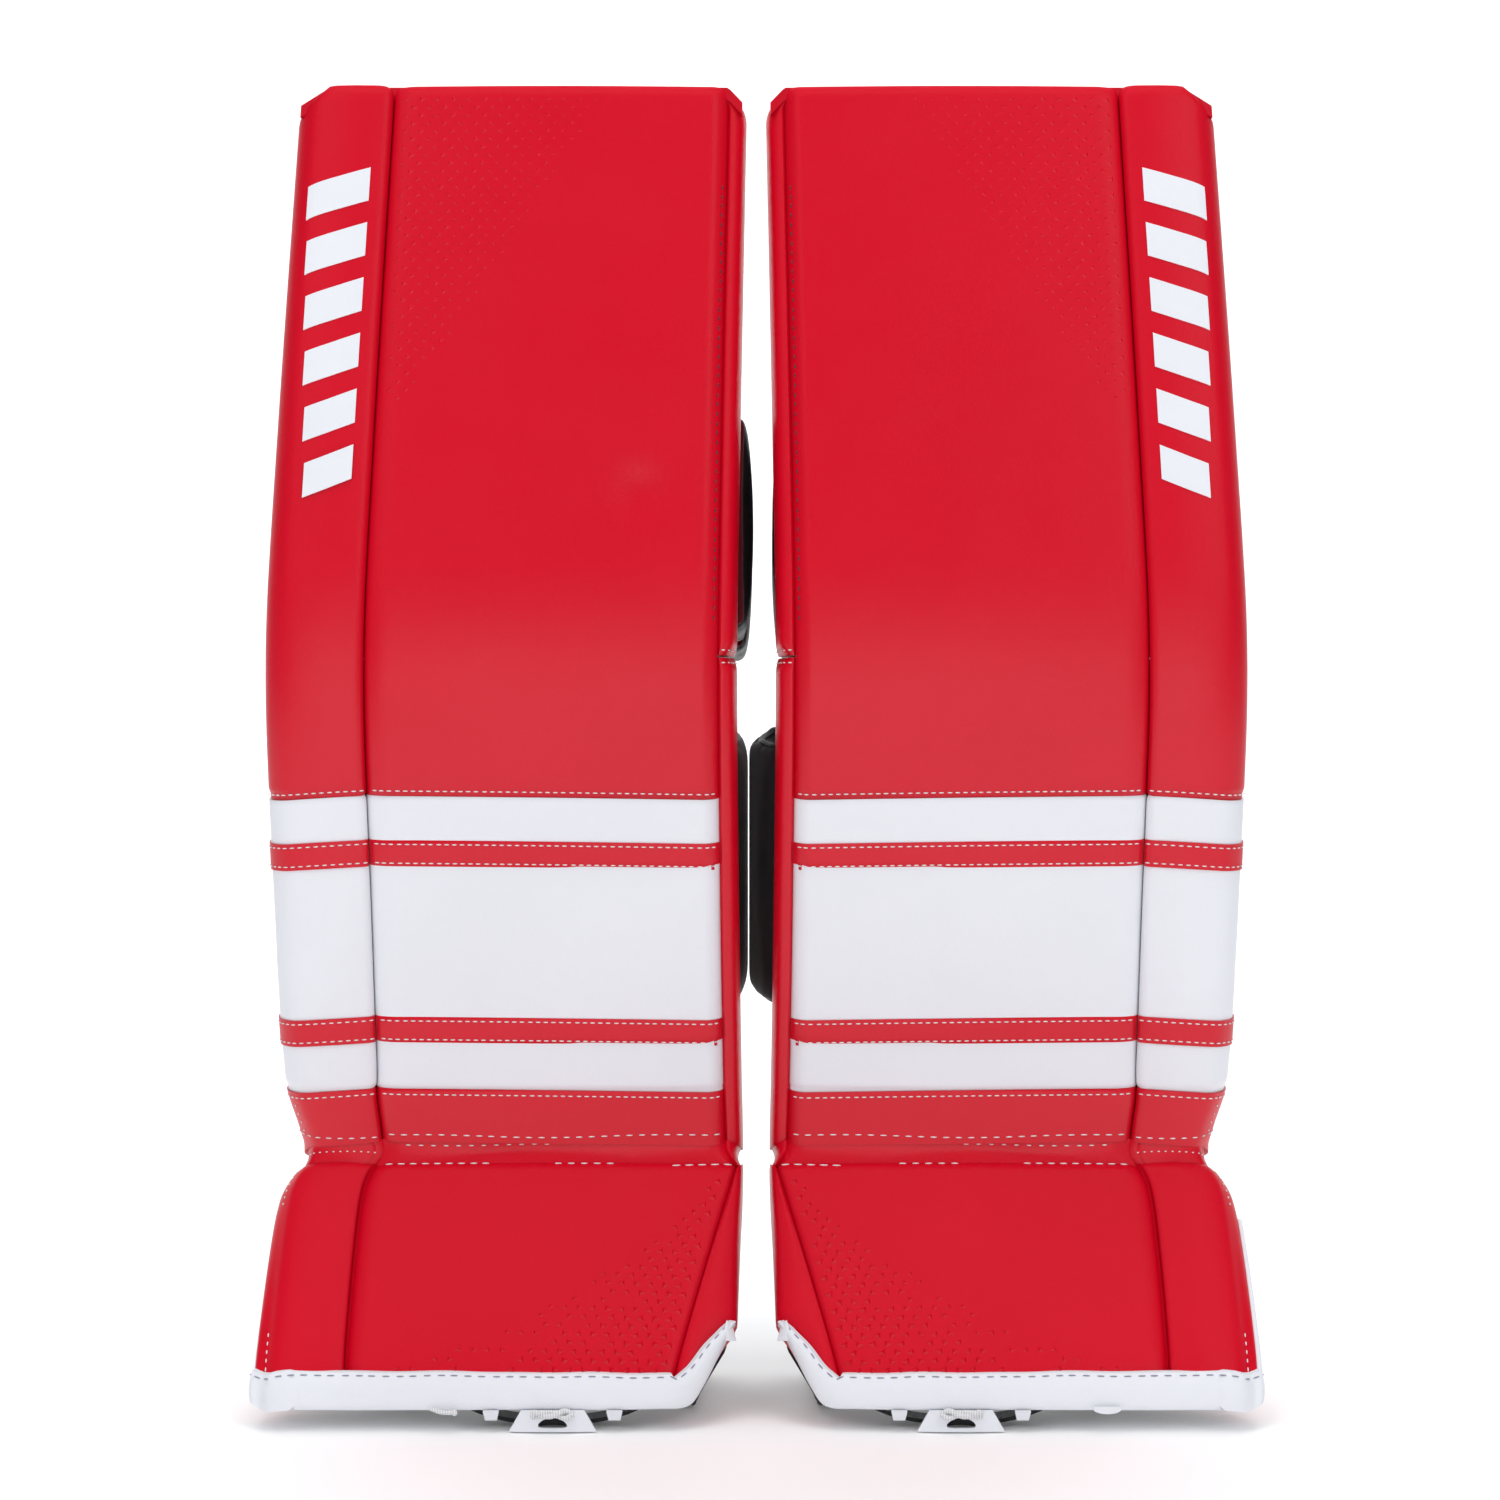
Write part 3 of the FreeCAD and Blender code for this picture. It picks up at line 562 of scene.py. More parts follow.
def side_on_pad(side, share, along, lift=0.0):
    """The inner side of the thigh and shin, from the face's seam to the back, nipped in at the knee."""
    places = (
        (0.00, INNER_SEAM_OUT + 0.0001, INNER_SEAM_DEEP + 0.0022),
        (0.10, INNER_SEAM_OUT - 0.0022, INNER_SEAM_DEEP + 0.0004),
        (0.32, 0.0034, 0.0130),
        (0.56, 0.0006, 0.0245),
        (0.82, 0.0012, 0.0390),
        (1.00, 0.0075, PAD_THICK - 0.0025),
    )
    nip = 0.0042 * math.exp(-(along / 0.0050) ** 2) * math.sin(math.pi * min(share * 1.2, 1))
    out = ease(places, share, 1) + nip - lift * math.sin(math.pi / 2 * min(share * 2, 1))
    deep = ease(places, share, 2) - lift * math.cos(math.pi / 2 * min(share * 2, 1))
    round_over = fall(top_edge(0.004) - along, 0.008, 0.005)
    return on_pad(side, out + round_over, along, deep)


def boot_thick(down):
    """How thick the boot is."""
    return 0.052 - 0.028 * max(down, 0) / BOOT_LONG


def toe_end(deep):
    """Where the boot ends at a depth: its underside is level at the toe."""
    return BOOT_LONG - math.tan(BOOT_LEAN) * deep


def corner_edge(down):
    """The boot's inner outline, cut across at the toe's corner."""
    return max(down - 0.121, 0) * 0.025 / 0.055


def toe_fall(down):
    """How far the boot's front has rounded over towards the toe."""
    return fall(BOOT_LONG - down, 0.045, 0.0085)


def head_fall(down):
    """How far the boot's front has rounded over towards the break."""
    return fall(down - BOOT_START, 0.010, 0.0040)


def boot_inner_seam(down):
    """Out to the slanting seam between the boot's face and its inner side."""
    return ease(BOOT_INNER_SEAM, down)


def face_on_boot(side, out, down, lift=0.0):
    """The boot's face, which rounds over at the toe."""
    seam = ease(BOOT_ROLL_SEAM, down)
    inner = boot_inner_seam(down)
    middle = (inner + seam) / 2
    deep = 0.0012 * ((out - middle) / (seam - middle)) ** 2
    if out <= seam:
        deep += fall(seam - out, 0.012, 0.0050)
        deep += fall(out - inner, 0.009, 0.0034)
    deep += toe_fall(down)
    deep += head_fall(down)
    return on_boot(side, out, down, deep - lift)


def roll_on_boot(side, share, down, lift=0.0):
    """The boot's outer roll, which thins towards the toe."""
    seam = ease(BOOT_ROLL_SEAM, down)
    thick = boot_thick(down)
    out, deep = roll_section(share, seam, PAD_WIDE, thick - 0.002, 0.0056)
    front = max(1 - deep / thick, 0)
    deep += (toe_fall(down) + head_fall(down)) * front
    centre_out, centre_deep = blend_to(seam, PAD_WIDE, 0.5), thick * 0.6
    away = Vector((out - centre_out, deep - centre_deep))
    grown = away * (1 + lift / away.length)
    return on_boot(side, centre_out + grown.x, down, centre_deep + grown.y)


def side_on_boot(side, share, down, lift=0.0):
    """The boot's inner side, from the slanting seam round to the back."""
    seam = boot_inner_seam(down)
    edge = corner_edge(down) + 0.0050 * min(max(down - 0.112, 0) / 0.012, 1)
    thick = boot_thick(down)
    over = toe_fall(down)
    places = (
        (0.00, seam - 0.0002, 0.0050 + over),
        (0.08, seam - 0.0016, 0.0028 + over),
        (0.22, blend_to(seam, edge, 0.35), 0.0016 + over),
        (0.42, blend_to(seam, edge, 0.80), 0.0060 + over * 0.8),
        (0.60, edge + 0.0004, thick * 0.36 + over * 0.5),
        (0.80, edge + 0.0006, thick * 0.68),
        (1.00, edge + 0.0070, thick - 0.002),
    )
    out = ease(places, share, 1) - lift
    deep = ease(places, share, 2) + (head_fall(down) - lift) * (1 - share)
    return on_boot(side, out, down, deep)


def behind(side, lean, x, z, deep):
    """A place behind a straight part of the frame that leans back: x out from the inner edge."""
    up, back = lean_vectors(lean)
    point = Vector((0, KNEE_Y, KNEE_Z)) + up * z + back * deep
    point.x = SIDES[side] * (INNER_EDGE_OUT + x)
    return point


def behind_thigh(side, x, z, deep):
    """A place behind the thigh."""
    return behind(side, THIGH_LEAN, x, z, deep)


def behind_shin(side, x, z, deep):
    """A place behind the shin."""
    return behind(side, -SHIN_LEAN, x, z, deep)


def at_foot(side, x, y, z):
    """A place round the foot: y behind the boot break, z up from the floor."""
    return Vector((SIDES[side] * (INNER_EDGE_OUT + x), BREAK.y + y, z))


# ---- stitching and embossing ----------------------------------------------------------------------------

ROW_STEPS = 400
THREAD_SHOWS = 0.5


def frame_at(place, first, second, inside, step=0.0006):
    """Where a surface is, and which way it faces, at two of its own measures."""
    point = place(first, second)
    across = place(first + step, second) - place(first - step, second)
    along = place(first, second + step) - place(first, second - step)
    normal = across.cross(along).normalized()
    if normal.dot(point - inside) < 0:
        normal.negate()
    return point, normal


def stitch_row(mesh, place, path, inside, length=None, gap=None):
    """A row of stitches lying on a surface, along path(0..1), as small rounded lengths of thread."""
    chosen = settings()
    length = length or chosen.stitch_length
    gap = gap or chosen.stitch_gap
    radius = chosen.thread_radius
    shares = [i / ROW_STEPS for i in range(ROW_STEPS + 1)]
    points = [place(*path(share)) for share in shares]
    travelled = [0.0]
    for before, after in zip(points, points[1:]):
        travelled.append(travelled[-1] + (after - before).length)
    count = max(int(travelled[-1] / (length + gap)), 1)
    spacing = travelled[-1] / count
    index = 0
    for number in range(count):
        middle = (number + 0.5) * spacing
        while index < ROW_STEPS - 1 and travelled[index + 1] < middle:
            index += 1
        share = shares[index]
        ahead = (points[index + 1] - points[index]).normalized()
        point, normal = frame_at(place, *path(share), inside)
        ahead = (ahead - normal * ahead.dot(normal)).normalized()
        across = normal.cross(ahead)
        size = Matrix.Diagonal((length / 2, radius, radius))
        turned = Matrix((ahead, across, normal)).transposed() @ size
        centre = point + normal * radius * THREAD_SHOWS
        bmesh.ops.create_uvsphere(
            mesh, u_segments=6, v_segments=5, radius=1.0,
            matrix=Matrix.Translation(centre) @ turned.to_4x4(),
        )


def straight(start, end):
    """A straight path between two places, each given in a surface's own two measures."""

    def path(share):
        return blend_to(start[0], end[0], share), blend_to(start[1], end[1], share)

    return path


def sewn(name, material, rows):
    """One object from rows of stitches; each row holds the arguments of stitch_row after its mesh."""
    mesh = bmesh.new()
    for row in rows:
        part = bmesh.new()
        stitch_row(part, **row)
        add_part(mesh, part)
    return piece_from(mesh, name, material, 180)


def add_part(mesh, part):
    """Moves one bmesh's shapes into another."""
    data = bpy.data.meshes.new("part")
    part.to_mesh(data)
    part.free()
    mesh.from_mesh(data)
    bpy.data.meshes.remove(data)


def triangle(mesh, place, first, second, inside, size, up, rise):
    """One small embossed pyramid, as tall as rise times its size, pointing up or down the pad."""
    point, normal = frame_at(place, first, second, inside)
    pointing = Vector((0, 0, 1 if up else -1))
    pointing = (pointing - normal * pointing.dot(normal)).normalized()
    turned = Matrix((pointing, normal.cross(pointing), normal)).transposed().to_4x4()
    bmesh.ops.create_cone(
        mesh, cap_ends=True, segments=3, radius1=size * 0.60, radius2=0, depth=size * rise,
        matrix=Matrix.Translation(point + normal * size * (rise / 2 - 0.04)) @ turned,
    )


# ---- camera, lights and floor ---------------------------------------------------------------------------

def soft_light(name, place, aim, size, power, shows_in_gloss):
    """A rectangular softbox aimed at a point."""
    data = bpy.data.lights.new(name, "AREA")
    data.shape = "RECTANGLE"
    data.size, data.size_y = size
    data.energy = power
    light = bpy.data.objects.new(name, data)
    light.location = place
    light.rotation_euler = (Vector(aim) - Vector(place)).to_track_quat("-Z", "Y").to_euler()
    light.visible_glossy = shows_in_gloss
    bpy.context.scene.collection.objects.link(light)


CAMERA_PLACE = (-0.004, -1.873, 0.398)
CAMERA_LENS = 71.7
# (name, place, aim, size, power, shows in the leather's gloss)
SOFTBOXES = (
    ("key", (-1.3, -1.7, 2.0), (0, 0, 0.4), (1.6, 1.6), 17, False),
    ("fill", (1.4, -1.7, 1.8), (0, 0, 0.4), (1.6, 1.6), 15, False),
    ("overhead", (0, -0.5, 3.2), (0, -0.1, 0), (3.0, 2.2), 48, False),
    ("low front", (0, -2.8, 0.42), (0, 0, 0.35), (2.8, 0.45), 9, True),
    ("back", (0, 1.5, 2.4), (0, 1.2, 0.2), (3.2, 1.6), 60, False),
)
FLOOR_FLAT_TO = 1.6
FLOOR_SWEEP = 1.2


class OBJECT_OT_pad_stage(bpy.types.Operator):
    """Adds the camera, the softboxes and the pale floor that sweeps up behind the pads"""

    bl_idname = "object.pad_stage"
    bl_label = "Camera, lights and floor"

    def execute(self, context):
        scene = context.scene
        lens = bpy.data.cameras.new("camera")
        lens.lens = CAMERA_LENS
        lens.sensor_width = 36
        lens.dof.use_dof = False
        camera = bpy.data.objects.new("camera", lens)
        camera.location = CAMERA_PLACE
        camera.rotation_euler = (math.radians(90), 0, 0)
        scene.collection.objects.link(camera)
        scene.camera = camera

        world = bpy.data.worlds.new("studio")
        world.use_nodes = True
        sky = world.node_tree.nodes["Background"]
        sky.inputs["Color"].default_value = (0.93, 0.95, 1.0, 1)
        sky.inputs["Strength"].default_value = 0.24
        scene.world = world
        scene.view_settings.view_transform = "Standard"
        scene.view_settings.look = "None"
        scene.view_settings.exposure = 0
        scene.view_settings.gamma = 1

        world.cycles_visibility.glossy = False
        for softbox in SOFTBOXES:
            soft_light(*softbox)

        mesh = bmesh.new()
        bmesh.ops.create_grid(mesh, x_segments=12, y_segments=60, size=0.5)
        for vertex in mesh.verts:
            run = (vertex.co.y + 0.5) * 9.0 - 4.0
            past = run - FLOOR_FLAT_TO
            bend = min(max(past, 0) / FLOOR_SWEEP, math.pi / 2)
            vertex.co.x *= 14
            vertex.co.y = min(run, FLOOR_FLAT_TO) + FLOOR_SWEEP * math.sin(bend)
            vertex.co.z = FLOOR_SWEEP * (1 - math.cos(bend)) + max(past - FLOOR_SWEEP * math.pi / 2, 0)
        made = Nodes("studio_floor")
        cloud = made.add("ShaderNodeTexNoise", Vector=made.place, Scale=1.5).outputs["Fac"]
        made.link(made.colour_between(cloud, (0.90, 0.90, 0.91), (0.93, 0.93, 0.93)), "Base Color")
        made.set(Roughness=0.75, Specular_IOR_Level=0.2, Emission_Strength=0.05)
        made.set(Emission_Color=(1, 1, 1, 1))
        MATERIALS["floor"] = made.material
        floor = piece_from(mesh, "floor", "floor", 180)
        return {"FINISHED"}


# ---- the thigh and shin's covers ------------------------------------------------------------------------

def inside_pad(side, along):
    """A point in the middle of the pad's padding."""
    return on_pad(side, 0.15, along, 0.030)


def panel_line(out, level):
    """Where a cross seam of that level lies, out from the inner edge."""
    if level >= THIGH_LONG:
        return top_edge(out)
    return level + line_sag(out) * (1 if level < 0 else 0)


def line_sag(out):
    """The cross seams' slight arch: highest at the roll's seam, lower towards both edges."""
    seam = PAD_ROLL_SEAM[-2][1]
    if out < seam:
        return -0.0030 * ((seam - out) / seam) ** 2
    return -0.0045 * ((out - seam) / (PAD_WIDE - seam)) ** 2


def tucked(along, low, high):
    """How far a panel tucks in at its two sewn ends."""
    tuck = 0.0
    if low > SHIN_END:
        tuck += fall(along - low, 0.0035, 0.0012)
    if high < THIGH_LONG:
        tuck += fall(high - along, 0.0035, 0.0012)
    return tuck


def face_panel(side, name, low, high, material, steps, lift=0.0, details=None):
    """One leather panel across the face, from one cross seam to another."""

    def outer(u, v):
        middle = blend_to(low, high, v)
        seam = ease(PAD_ROLL_SEAM, middle) + 0.0006
        out = blend_to(INNER_SEAM_OUT, seam, u)
        along = blend_to(panel_line(out, low), panel_line(out, high), v)
        return face_on_pad(side, out, along, lift - tucked(along, low, high))

    def inner(u, v):
        middle = blend_to(low, high, v)
        out = blend_to(INNER_SEAM_OUT + 0.004, ease(PAD_ROLL_SEAM, middle) - 0.004, u)
        along = blend_to(panel_line(out, low), panel_line(out, high), v)
        return on_pad(side, out, along, PANEL_THICK if lift else 0.030)

    return closed_sheet(f"{side}_{name}", steps, outer, inner, material, details=details)


def roll_panel(side, name, low, high, material, steps, lift=0.0, shares=(0.0, 1.0)):
    """One leather panel round the outer roll."""

    def place(u, v, height):
        share = blend_to(*shares, u)
        out, deep = roll_section(share, ease(PAD_ROLL_SEAM, blend_to(low, high, v)), PAD_WIDE, PAD_THICK)
        foot = panel_line(out, low)
        if low == SHIN_END:
            foot -= break_drop(deep)
        along = blend_to(foot, panel_line(out, high), v)
        return roll_on_pad(side, share, along, height - tucked(along, low, high) * bool(not lift))

    return layered(f"{side}_{name}", steps, place, lift, -0.0005 if lift else -0.014, material)


DIMPLE_OUT = 0.062
DIMPLE_ALONG = 0.100
DIMPLE_WIDE = 0.016
DIMPLE_DEEP = 0.0032
KNEE_LEVEL = 0.455


def press_dimple(face):
    """Presses the small soft dimple into the right thigh's leather."""
    for vertex in face.data.vertices:
        along = vertex.co.z - KNEE_LEVEL
        if abs(along - DIMPLE_ALONG) > 0.07 or vertex.co.y > -0.02:
            continue
        out = abs(vertex.co.x) - 0.0095
        away = ((out - DIMPLE_OUT) / DIMPLE_WIDE) ** 2 + ((along - DIMPLE_ALONG) / DIMPLE_WIDE) ** 2
        vertex.co.y += DIMPLE_DEEP * math.exp(-away)


def upper_embossing(side):
    """Adds the small triangles pressed into the upper face, beside the roll's seam."""

    def place(out, high):
        return face_on_pad(side, out, high)

    def add(mesh):
        inside = inside_pad(side, 0.2)
        part = bmesh.new()
        for row in range(38):
            along = 0.353 - row * 0.0052
            reach = 0.128 * (1 - row / 41) ** 0.9
            for column in range(16):
                from_seam = 0.008 + column * 0.0098 + (0.0049 if row % 2 else 0)
                if from_seam > reach:
                    continue
                size = 0.0054 * (1 - 0.50 * from_seam / 0.14) * (1 - 0.25 * row / 38)
                up = (row + column) % 2 == 0
                triangle(part, place, PAD_ROLL_SEAM[-1][1] - from_seam, along, inside, size, up, 0.19)
        add_part(mesh, part)

    return add


def make_upper_face(side):
    """The big red panel from the top, over the knee, to the first white band."""
    face = face_panel(
        side, "upper_face", WHITE_TOP, THIGH_LONG, "red", (66, 120), details=upper_embossing(side)
    )
    if side == "right":
        press_dimple(face)
    dress(face, side, "knee", ("thigh_face", "thigh_core"))


def make_shin_faces(side):
    """The white panel, the red panel under it, and the two red stripes sewn across."""
    white = face_panel(side, "white_panel", WHITE_LOW, WHITE_TOP, "white", (60, 56))
    dress(white, side, "shin", ("shin_white_panel", "shin_core"))
    low = face_panel(side, "low_panel", SHIN_END, WHITE_LOW, "red", (60, 16))
    dress(low, side, "shin", ("shin_red_panels",))
    for number, (high, bottom) in enumerate(STRIPES, 1):
        stripe = face_panel(side, f"stripe_{number}", bottom, high, "red", (60, 8), 0.0010)
        dress(stripe, side, "shin", ("shin_stripes",))


def make_rolls(side):
    """The outer roll's panels and stripes."""
    upper = roll_panel(side, "upper_roll", WHITE_TOP, THIGH_LONG, "red", (44, 110))
    dress(upper, side, "knee", ("thigh_roll",))
    white = roll_panel(side, "white_roll", WHITE_LOW, WHITE_TOP, "white", (44, 44))
    dress(white, side, "shin", ("shin_roll",))
    low = roll_panel(side, "low_roll", SHIN_END, WHITE_LOW, "red", (44, 14))
    dress(low, side, "shin", ())
    for number, (high, bottom) in enumerate(STRIPES, 1):
        stripe = roll_panel(
            side, f"roll_stripe_{number}", bottom, high, "red", (44, 8), 0.0010, (0.02, 0.97)
        )
        dress(stripe, side, "shin", ())


def make_inner_sides(side):
    """The red inner sides of the thigh and shin, which meet in a nipped seam at the knee."""
    parts = (
        ("thigh_side", 0.0006, THIGH_LONG, "thigh_inner_side", (26, 90)),
        ("shin_side", SHIN_END, -0.0006, "shin_inner_side", (26, 76)),
    )
    for name, low, high, node, steps in parts:

        def level(u, v):
            foot = low - break_drop(PAD_THICK * u) if low == SHIN_END else low
            return blend_to(foot, min(high, top_edge(0.004)), v)

        def outer(u, v):
            along = level(u, v)
            return side_on_pad(side, u, along, -fall(abs(along), 0.003, 0.0015))

        def inner(u, v):
            return on_pad(side, 0.018, level(u, v), blend_to(0.014, 0.040, u))

        made = closed_sheet(f"{side}_{name}", steps, outer, inner, "red")
        dress(made, side, "knee", (node,))


def quilting(u, v, rows):
    """How full a quilted lining is, from its sewn lines to the middle of each of its squares."""
    return 0.1 + 0.9 * (abs(math.sin(math.pi * rows * v)) ** 0.5 * abs(math.sin(math.pi * 5 * u)) ** 0.5)


def make_backs(side):
    """The quilted nylon backs and the cap over the top of the thigh."""
    parts = (
        ("thigh_lining", 0.0008, THIGH_LONG - 0.002, "thigh_back", (60, 80), 7),
        ("shin_lining", SHIN_END - break_drop(PAD_THICK), -0.0008, "shin_back", (60, 70), 6),
    )
    for name, low, high, node, steps, rows in parts:

        def surface(u, v, lift):
            out = blend_to(0.0055, PAD_WIDE - 0.0130, u)
            along = blend_to(low, min(high, top_edge(out) - 0.002), v)
            return on_pad(side, out, along, PAD_THICK - 0.0028 + lift * quilting(u, v, rows))

        made = layered(f"{side}_{name}", steps, surface, 0.0042, -0.0060, "nylon", bunch=(0, 0))
        dress(made, side, "knee", (node,))

    def cap(u, v, lift):
        out = blend_to(0.0030, PAD_WIDE - 0.0030, u)
        deep = blend_to(0.0075, PAD_THICK - 0.0010, v)
        crown = 0.0022 * math.sin(math.pi * v) ** 0.6
        return on_pad(side, out, top_edge(out) - 0.0012 + crown + lift, deep)

    made = layered(f"{side}_top_cap", (60, 16), cap, 0, -0.008, "red")
    dress(made, side, "thigh", ())


def cross_path(level, start, end):
    """A line across the face at a seam's level."""

    def path(share):
        out = blend_to(start, end, share)
        return out, level + line_sag(out)

    return path


def roll_path(level, start=0.03, end=0.72):
    """A line round the roll at a seam's level."""

    def path(share):
        place = blend_to(start, end, share)
        out = roll_section(place, ease(PAD_ROLL_SEAM, level), PAD_WIDE, PAD_THICK)[0]
        return place, level + line_sag(out)

    return path


def make_shin_stitches(side):
    """White stitch rows along the white panel's seams, the stripes and the shin's foot."""
    levels = [WHITE_TOP + 0.0034, WHITE_LOW - 0.0034]
    for high, low in STRIPES:
        levels += [high - 0.0024, low + 0.0024]
    rows = []
    for level in levels:
        lift = 0.0010 if WHITE_LOW < level < WHITE_TOP else 0.0
        inside = inside_pad(side, level)
        rows.append(dict(
            place=lambda out, along, lift=lift: face_on_pad(side, out, along, lift),
            path=cross_path(level, INNER_SEAM_OUT + 0.002, ease(PAD_ROLL_SEAM, level) - 0.0025),
            inside=inside,
        ))
        rows.append(dict(
            place=lambda share, along, lift=lift: roll_on_pad(side, share, along, lift),
            path=roll_path(level),
            inside=on_pad(side, 0.25, level, 0.028),
        ))
    foot = SHIN_END + 0.0042
    inside_roll = on_pad(side, 0.25, foot, 0.028)
    rows.append(dict(
        place=lambda out, along: face_on_pad(side, out, along),
        path=lambda share: (blend_to(0.014, 0.2230, share), foot + 0.0008 * math.sin(9 * share)),
        inside=inside_pad(side, foot), length=0.0046, gap=0.0030,
    ))
    for path, length, gap in (
        (straight((0.04, foot - 0.001), (0.72, foot - 0.001)), 0.0040, 0.0026),
        (straight((0.60, -0.2740), (0.60, SHIN_END + 0.003)), 0.0016, 0.0030),
    ):
        rows.append(dict(
            place=lambda share, along: roll_on_pad(side, share, along),
            path=path, inside=inside_roll, length=length, gap=gap,
        ))
    made = sewn(f"{side}_shin_stitching", "thread", rows)
    dress(made, side, "shin", ())


def make_side_stitches(side):
    """Thread along both sides of the inner knee seam."""
    rows = []
    for along in (0.0040, -0.0040):
        rows.append(dict(
            place=lambda share, high: side_on_pad(side, share, high),
            path=straight((0.06, along), (0.96, along)),
            inside=on_pad(side, 0.10, along, 0.030), length=0.0030, gap=0.0018,
        ))
    made = sewn(f"{side}_knee_seam_stitching", "thread", rows)
    dress(made, side, "knee", ())
    seams = [dict(
        place=lambda out, along: face_on_pad(side, out, along),
        path=straight((INNER_SEAM_OUT + 0.0028, 0.30), (INNER_SEAM_OUT + 0.0028, 0.02)),
        inside=inside_pad(side, 0.2), length=0.0030, gap=0.0030,
    )]
    made = sewn(f"{side}_inner_seam_stitching", "dark_thread", seams)
    dress(made, side, "thigh", ())


MARK_BARS = 6
MARK_TOP = 0.308
MARK_APART = 0.0355
MARK_TALL = 0.0215
MARK_SLANT = 0.012


def make_roll_marks(side):
    """A generic mark of slanting white bars down the thigh's roll, where lettering is left out."""
    mesh = bmesh.new()
    for number in range(MARK_BARS):
        top = MARK_TOP - number * MARK_APART
        made = bmesh.ops.create_grid(mesh, x_segments=14, y_segments=8, size=0.5)
        for vertex in made["verts"]:
            u = vertex.co.x + 0.5
            v = vertex.co.y + 0.5
            share = blend_to(0.17, 0.50 - 0.018 * number, u)
            along = top - MARK_TALL * (1 - v) - MARK_SLANT * u
            vertex.co = roll_on_pad(side, share, along, 0.0006)
    bmesh.ops.recalc_face_normals(mesh, faces=mesh.faces)
    bmesh.ops.solidify(mesh, geom=mesh.faces[:], thickness=0.0008)
    bmesh.ops.recalc_face_normals(mesh, faces=mesh.faces)
    made = piece_from(mesh, f"{side}_roll_mark", "white")
    dress(made, side, "thigh", ())


# ---- the boot -------------------------------------------------------------------------------------------

def inside_boot(side, down):
    """A point in the middle of the boot's padding."""
    return on_boot(side, 0.15, down, boot_thick(down) * 0.55)


def boot_embossing(side):
    """Adds the small triangles pressed into the boot's face, thick at its inner toe corner."""

    def place(across, low):
        return face_on_boot(side, across, low)

    def add(mesh):
        chance = random.Random(7)
        part = bmesh.new()
        for row in range(27):
            down = 0.168 - row * 0.0056
            seam = boot_inner_seam(down)
            reach = 0.150 * (1 - row / 27) ** 1.7 + 0.014
            if row < 6:
                reach += 0.055 * (1 - row / 6)
            for column in range(24):
                out = seam + 0.007 + column * 0.0083 + (0.0041 if row % 2 else 0)
                from_seam = out - seam
                if from_seam > reach or chance.random() < 0.45 * (from_seam / reach) ** 2:
                    continue
                size = 0.0060 * (1 - 0.30 * from_seam / reach)
                high = down - 0.10 * from_seam * (row / 27)
                up = column % 2 == 0
                triangle(part, place, out, high, inside_boot(side, down), size, up, 0.30)
        add_part(mesh, part)

    return add


def roll_start(share):
    """Where the boot's roll starts, part of the way round."""
    return BOOT_START - break_drop(roll_section(share, 0.22, PAD_WIDE, BOOT_HEAD_THICK)[1])


def side_start(share):
    """Where the boot's inner side starts, part of the way round."""
    return BOOT_START - break_drop(BOOT_HEAD_THICK * max(share - 0.3, 0) / 0.7)


def make_boot_covers(side):
    """The boot's face, outer roll, inner side and underside."""

    def face(u, v):
        down = blend_to(BOOT_START, BOOT_LONG - 0.0050, v)
        out = blend_to(boot_inner_seam(down), ease(BOOT_ROLL_SEAM, down) + 0.0006, u)
        return face_on_boot(side, out, down)

    def face_inside(u, v):
        down = blend_to(BOOT_START + 0.002, toe_end(0.015) - 0.003, v)
        out = blend_to(boot_inner_seam(down) + 0.004, ease(BOOT_ROLL_SEAM, down) - 0.003, u)
        return on_boot(side, out, down, boot_thick(down) * 0.62)

    made = closed_sheet(
        f"{side}_boot_face_leather", (64, 54), face, face_inside, "red", details=boot_embossing(side)
    )
    dress(made, side, "boot", ("boot_face", "boot_core"))

    def roll(u, v, lift):
        deep = roll_section(u, 0.22, PAD_WIDE, BOOT_HEAD_THICK)[1]
        end = min(BOOT_LONG - 0.0120, toe_end(deep * 0.55) - 0.003)
        return roll_on_boot(side, u, blend_to(roll_start(u), end, v), lift)

    made = layered(f"{side}_boot_roll_leather", (44, 44), roll, 0, -0.008, "red")
    dress(made, side, "boot", ("boot_roll",))

    def inner(u, v):
        end = min(BOOT_LONG - 0.0050, toe_end(0.026 * max(u - 0.3, 0) / 0.7) - 0.003)
        return side_on_boot(side, u, blend_to(side_start(u), end, v))

    def inner_inside(u, v):
        down = blend_to(side_start(u) + 0.002, toe_end(0.022) - 0.004, v)
        out = max(boot_inner_seam(down) + 0.008, corner_edge(down) + 0.012)
        return on_boot(side, out, down, boot_thick(down) * blend_to(0.45, 0.85, u))

    made = closed_sheet(f"{side}_boot_side", (30, 50), inner, inner_inside, "red")
    dress(made, side, "boot", ("boot_inner_side",))

    def sole(u, v, lift):
        down = blend_to(BOOT_START - break_drop(BOOT_HEAD_THICK), toe_end(0.027) - 0.001, v)
        out = blend_to(corner_edge(down) + 0.006, PAD_WIDE - 0.013, u)
        return on_boot(side, out, down, boot_thick(down) - 0.0030 + lift * quilting(u, v, 4))

    made = layered(f"{side}_boot_lining", (50, 40), sole, 0.0026, -0.004, "nylon", bunch=(0, 0))
    dress(made, side, "boot", ())


# how much of the gusset's length lies on the inner side, and up to the roll
SIDE_PART = 0.12
FACE_PART = 0.76
TUCK_IN = 0.001
TUCK_UNDER = -0.0016


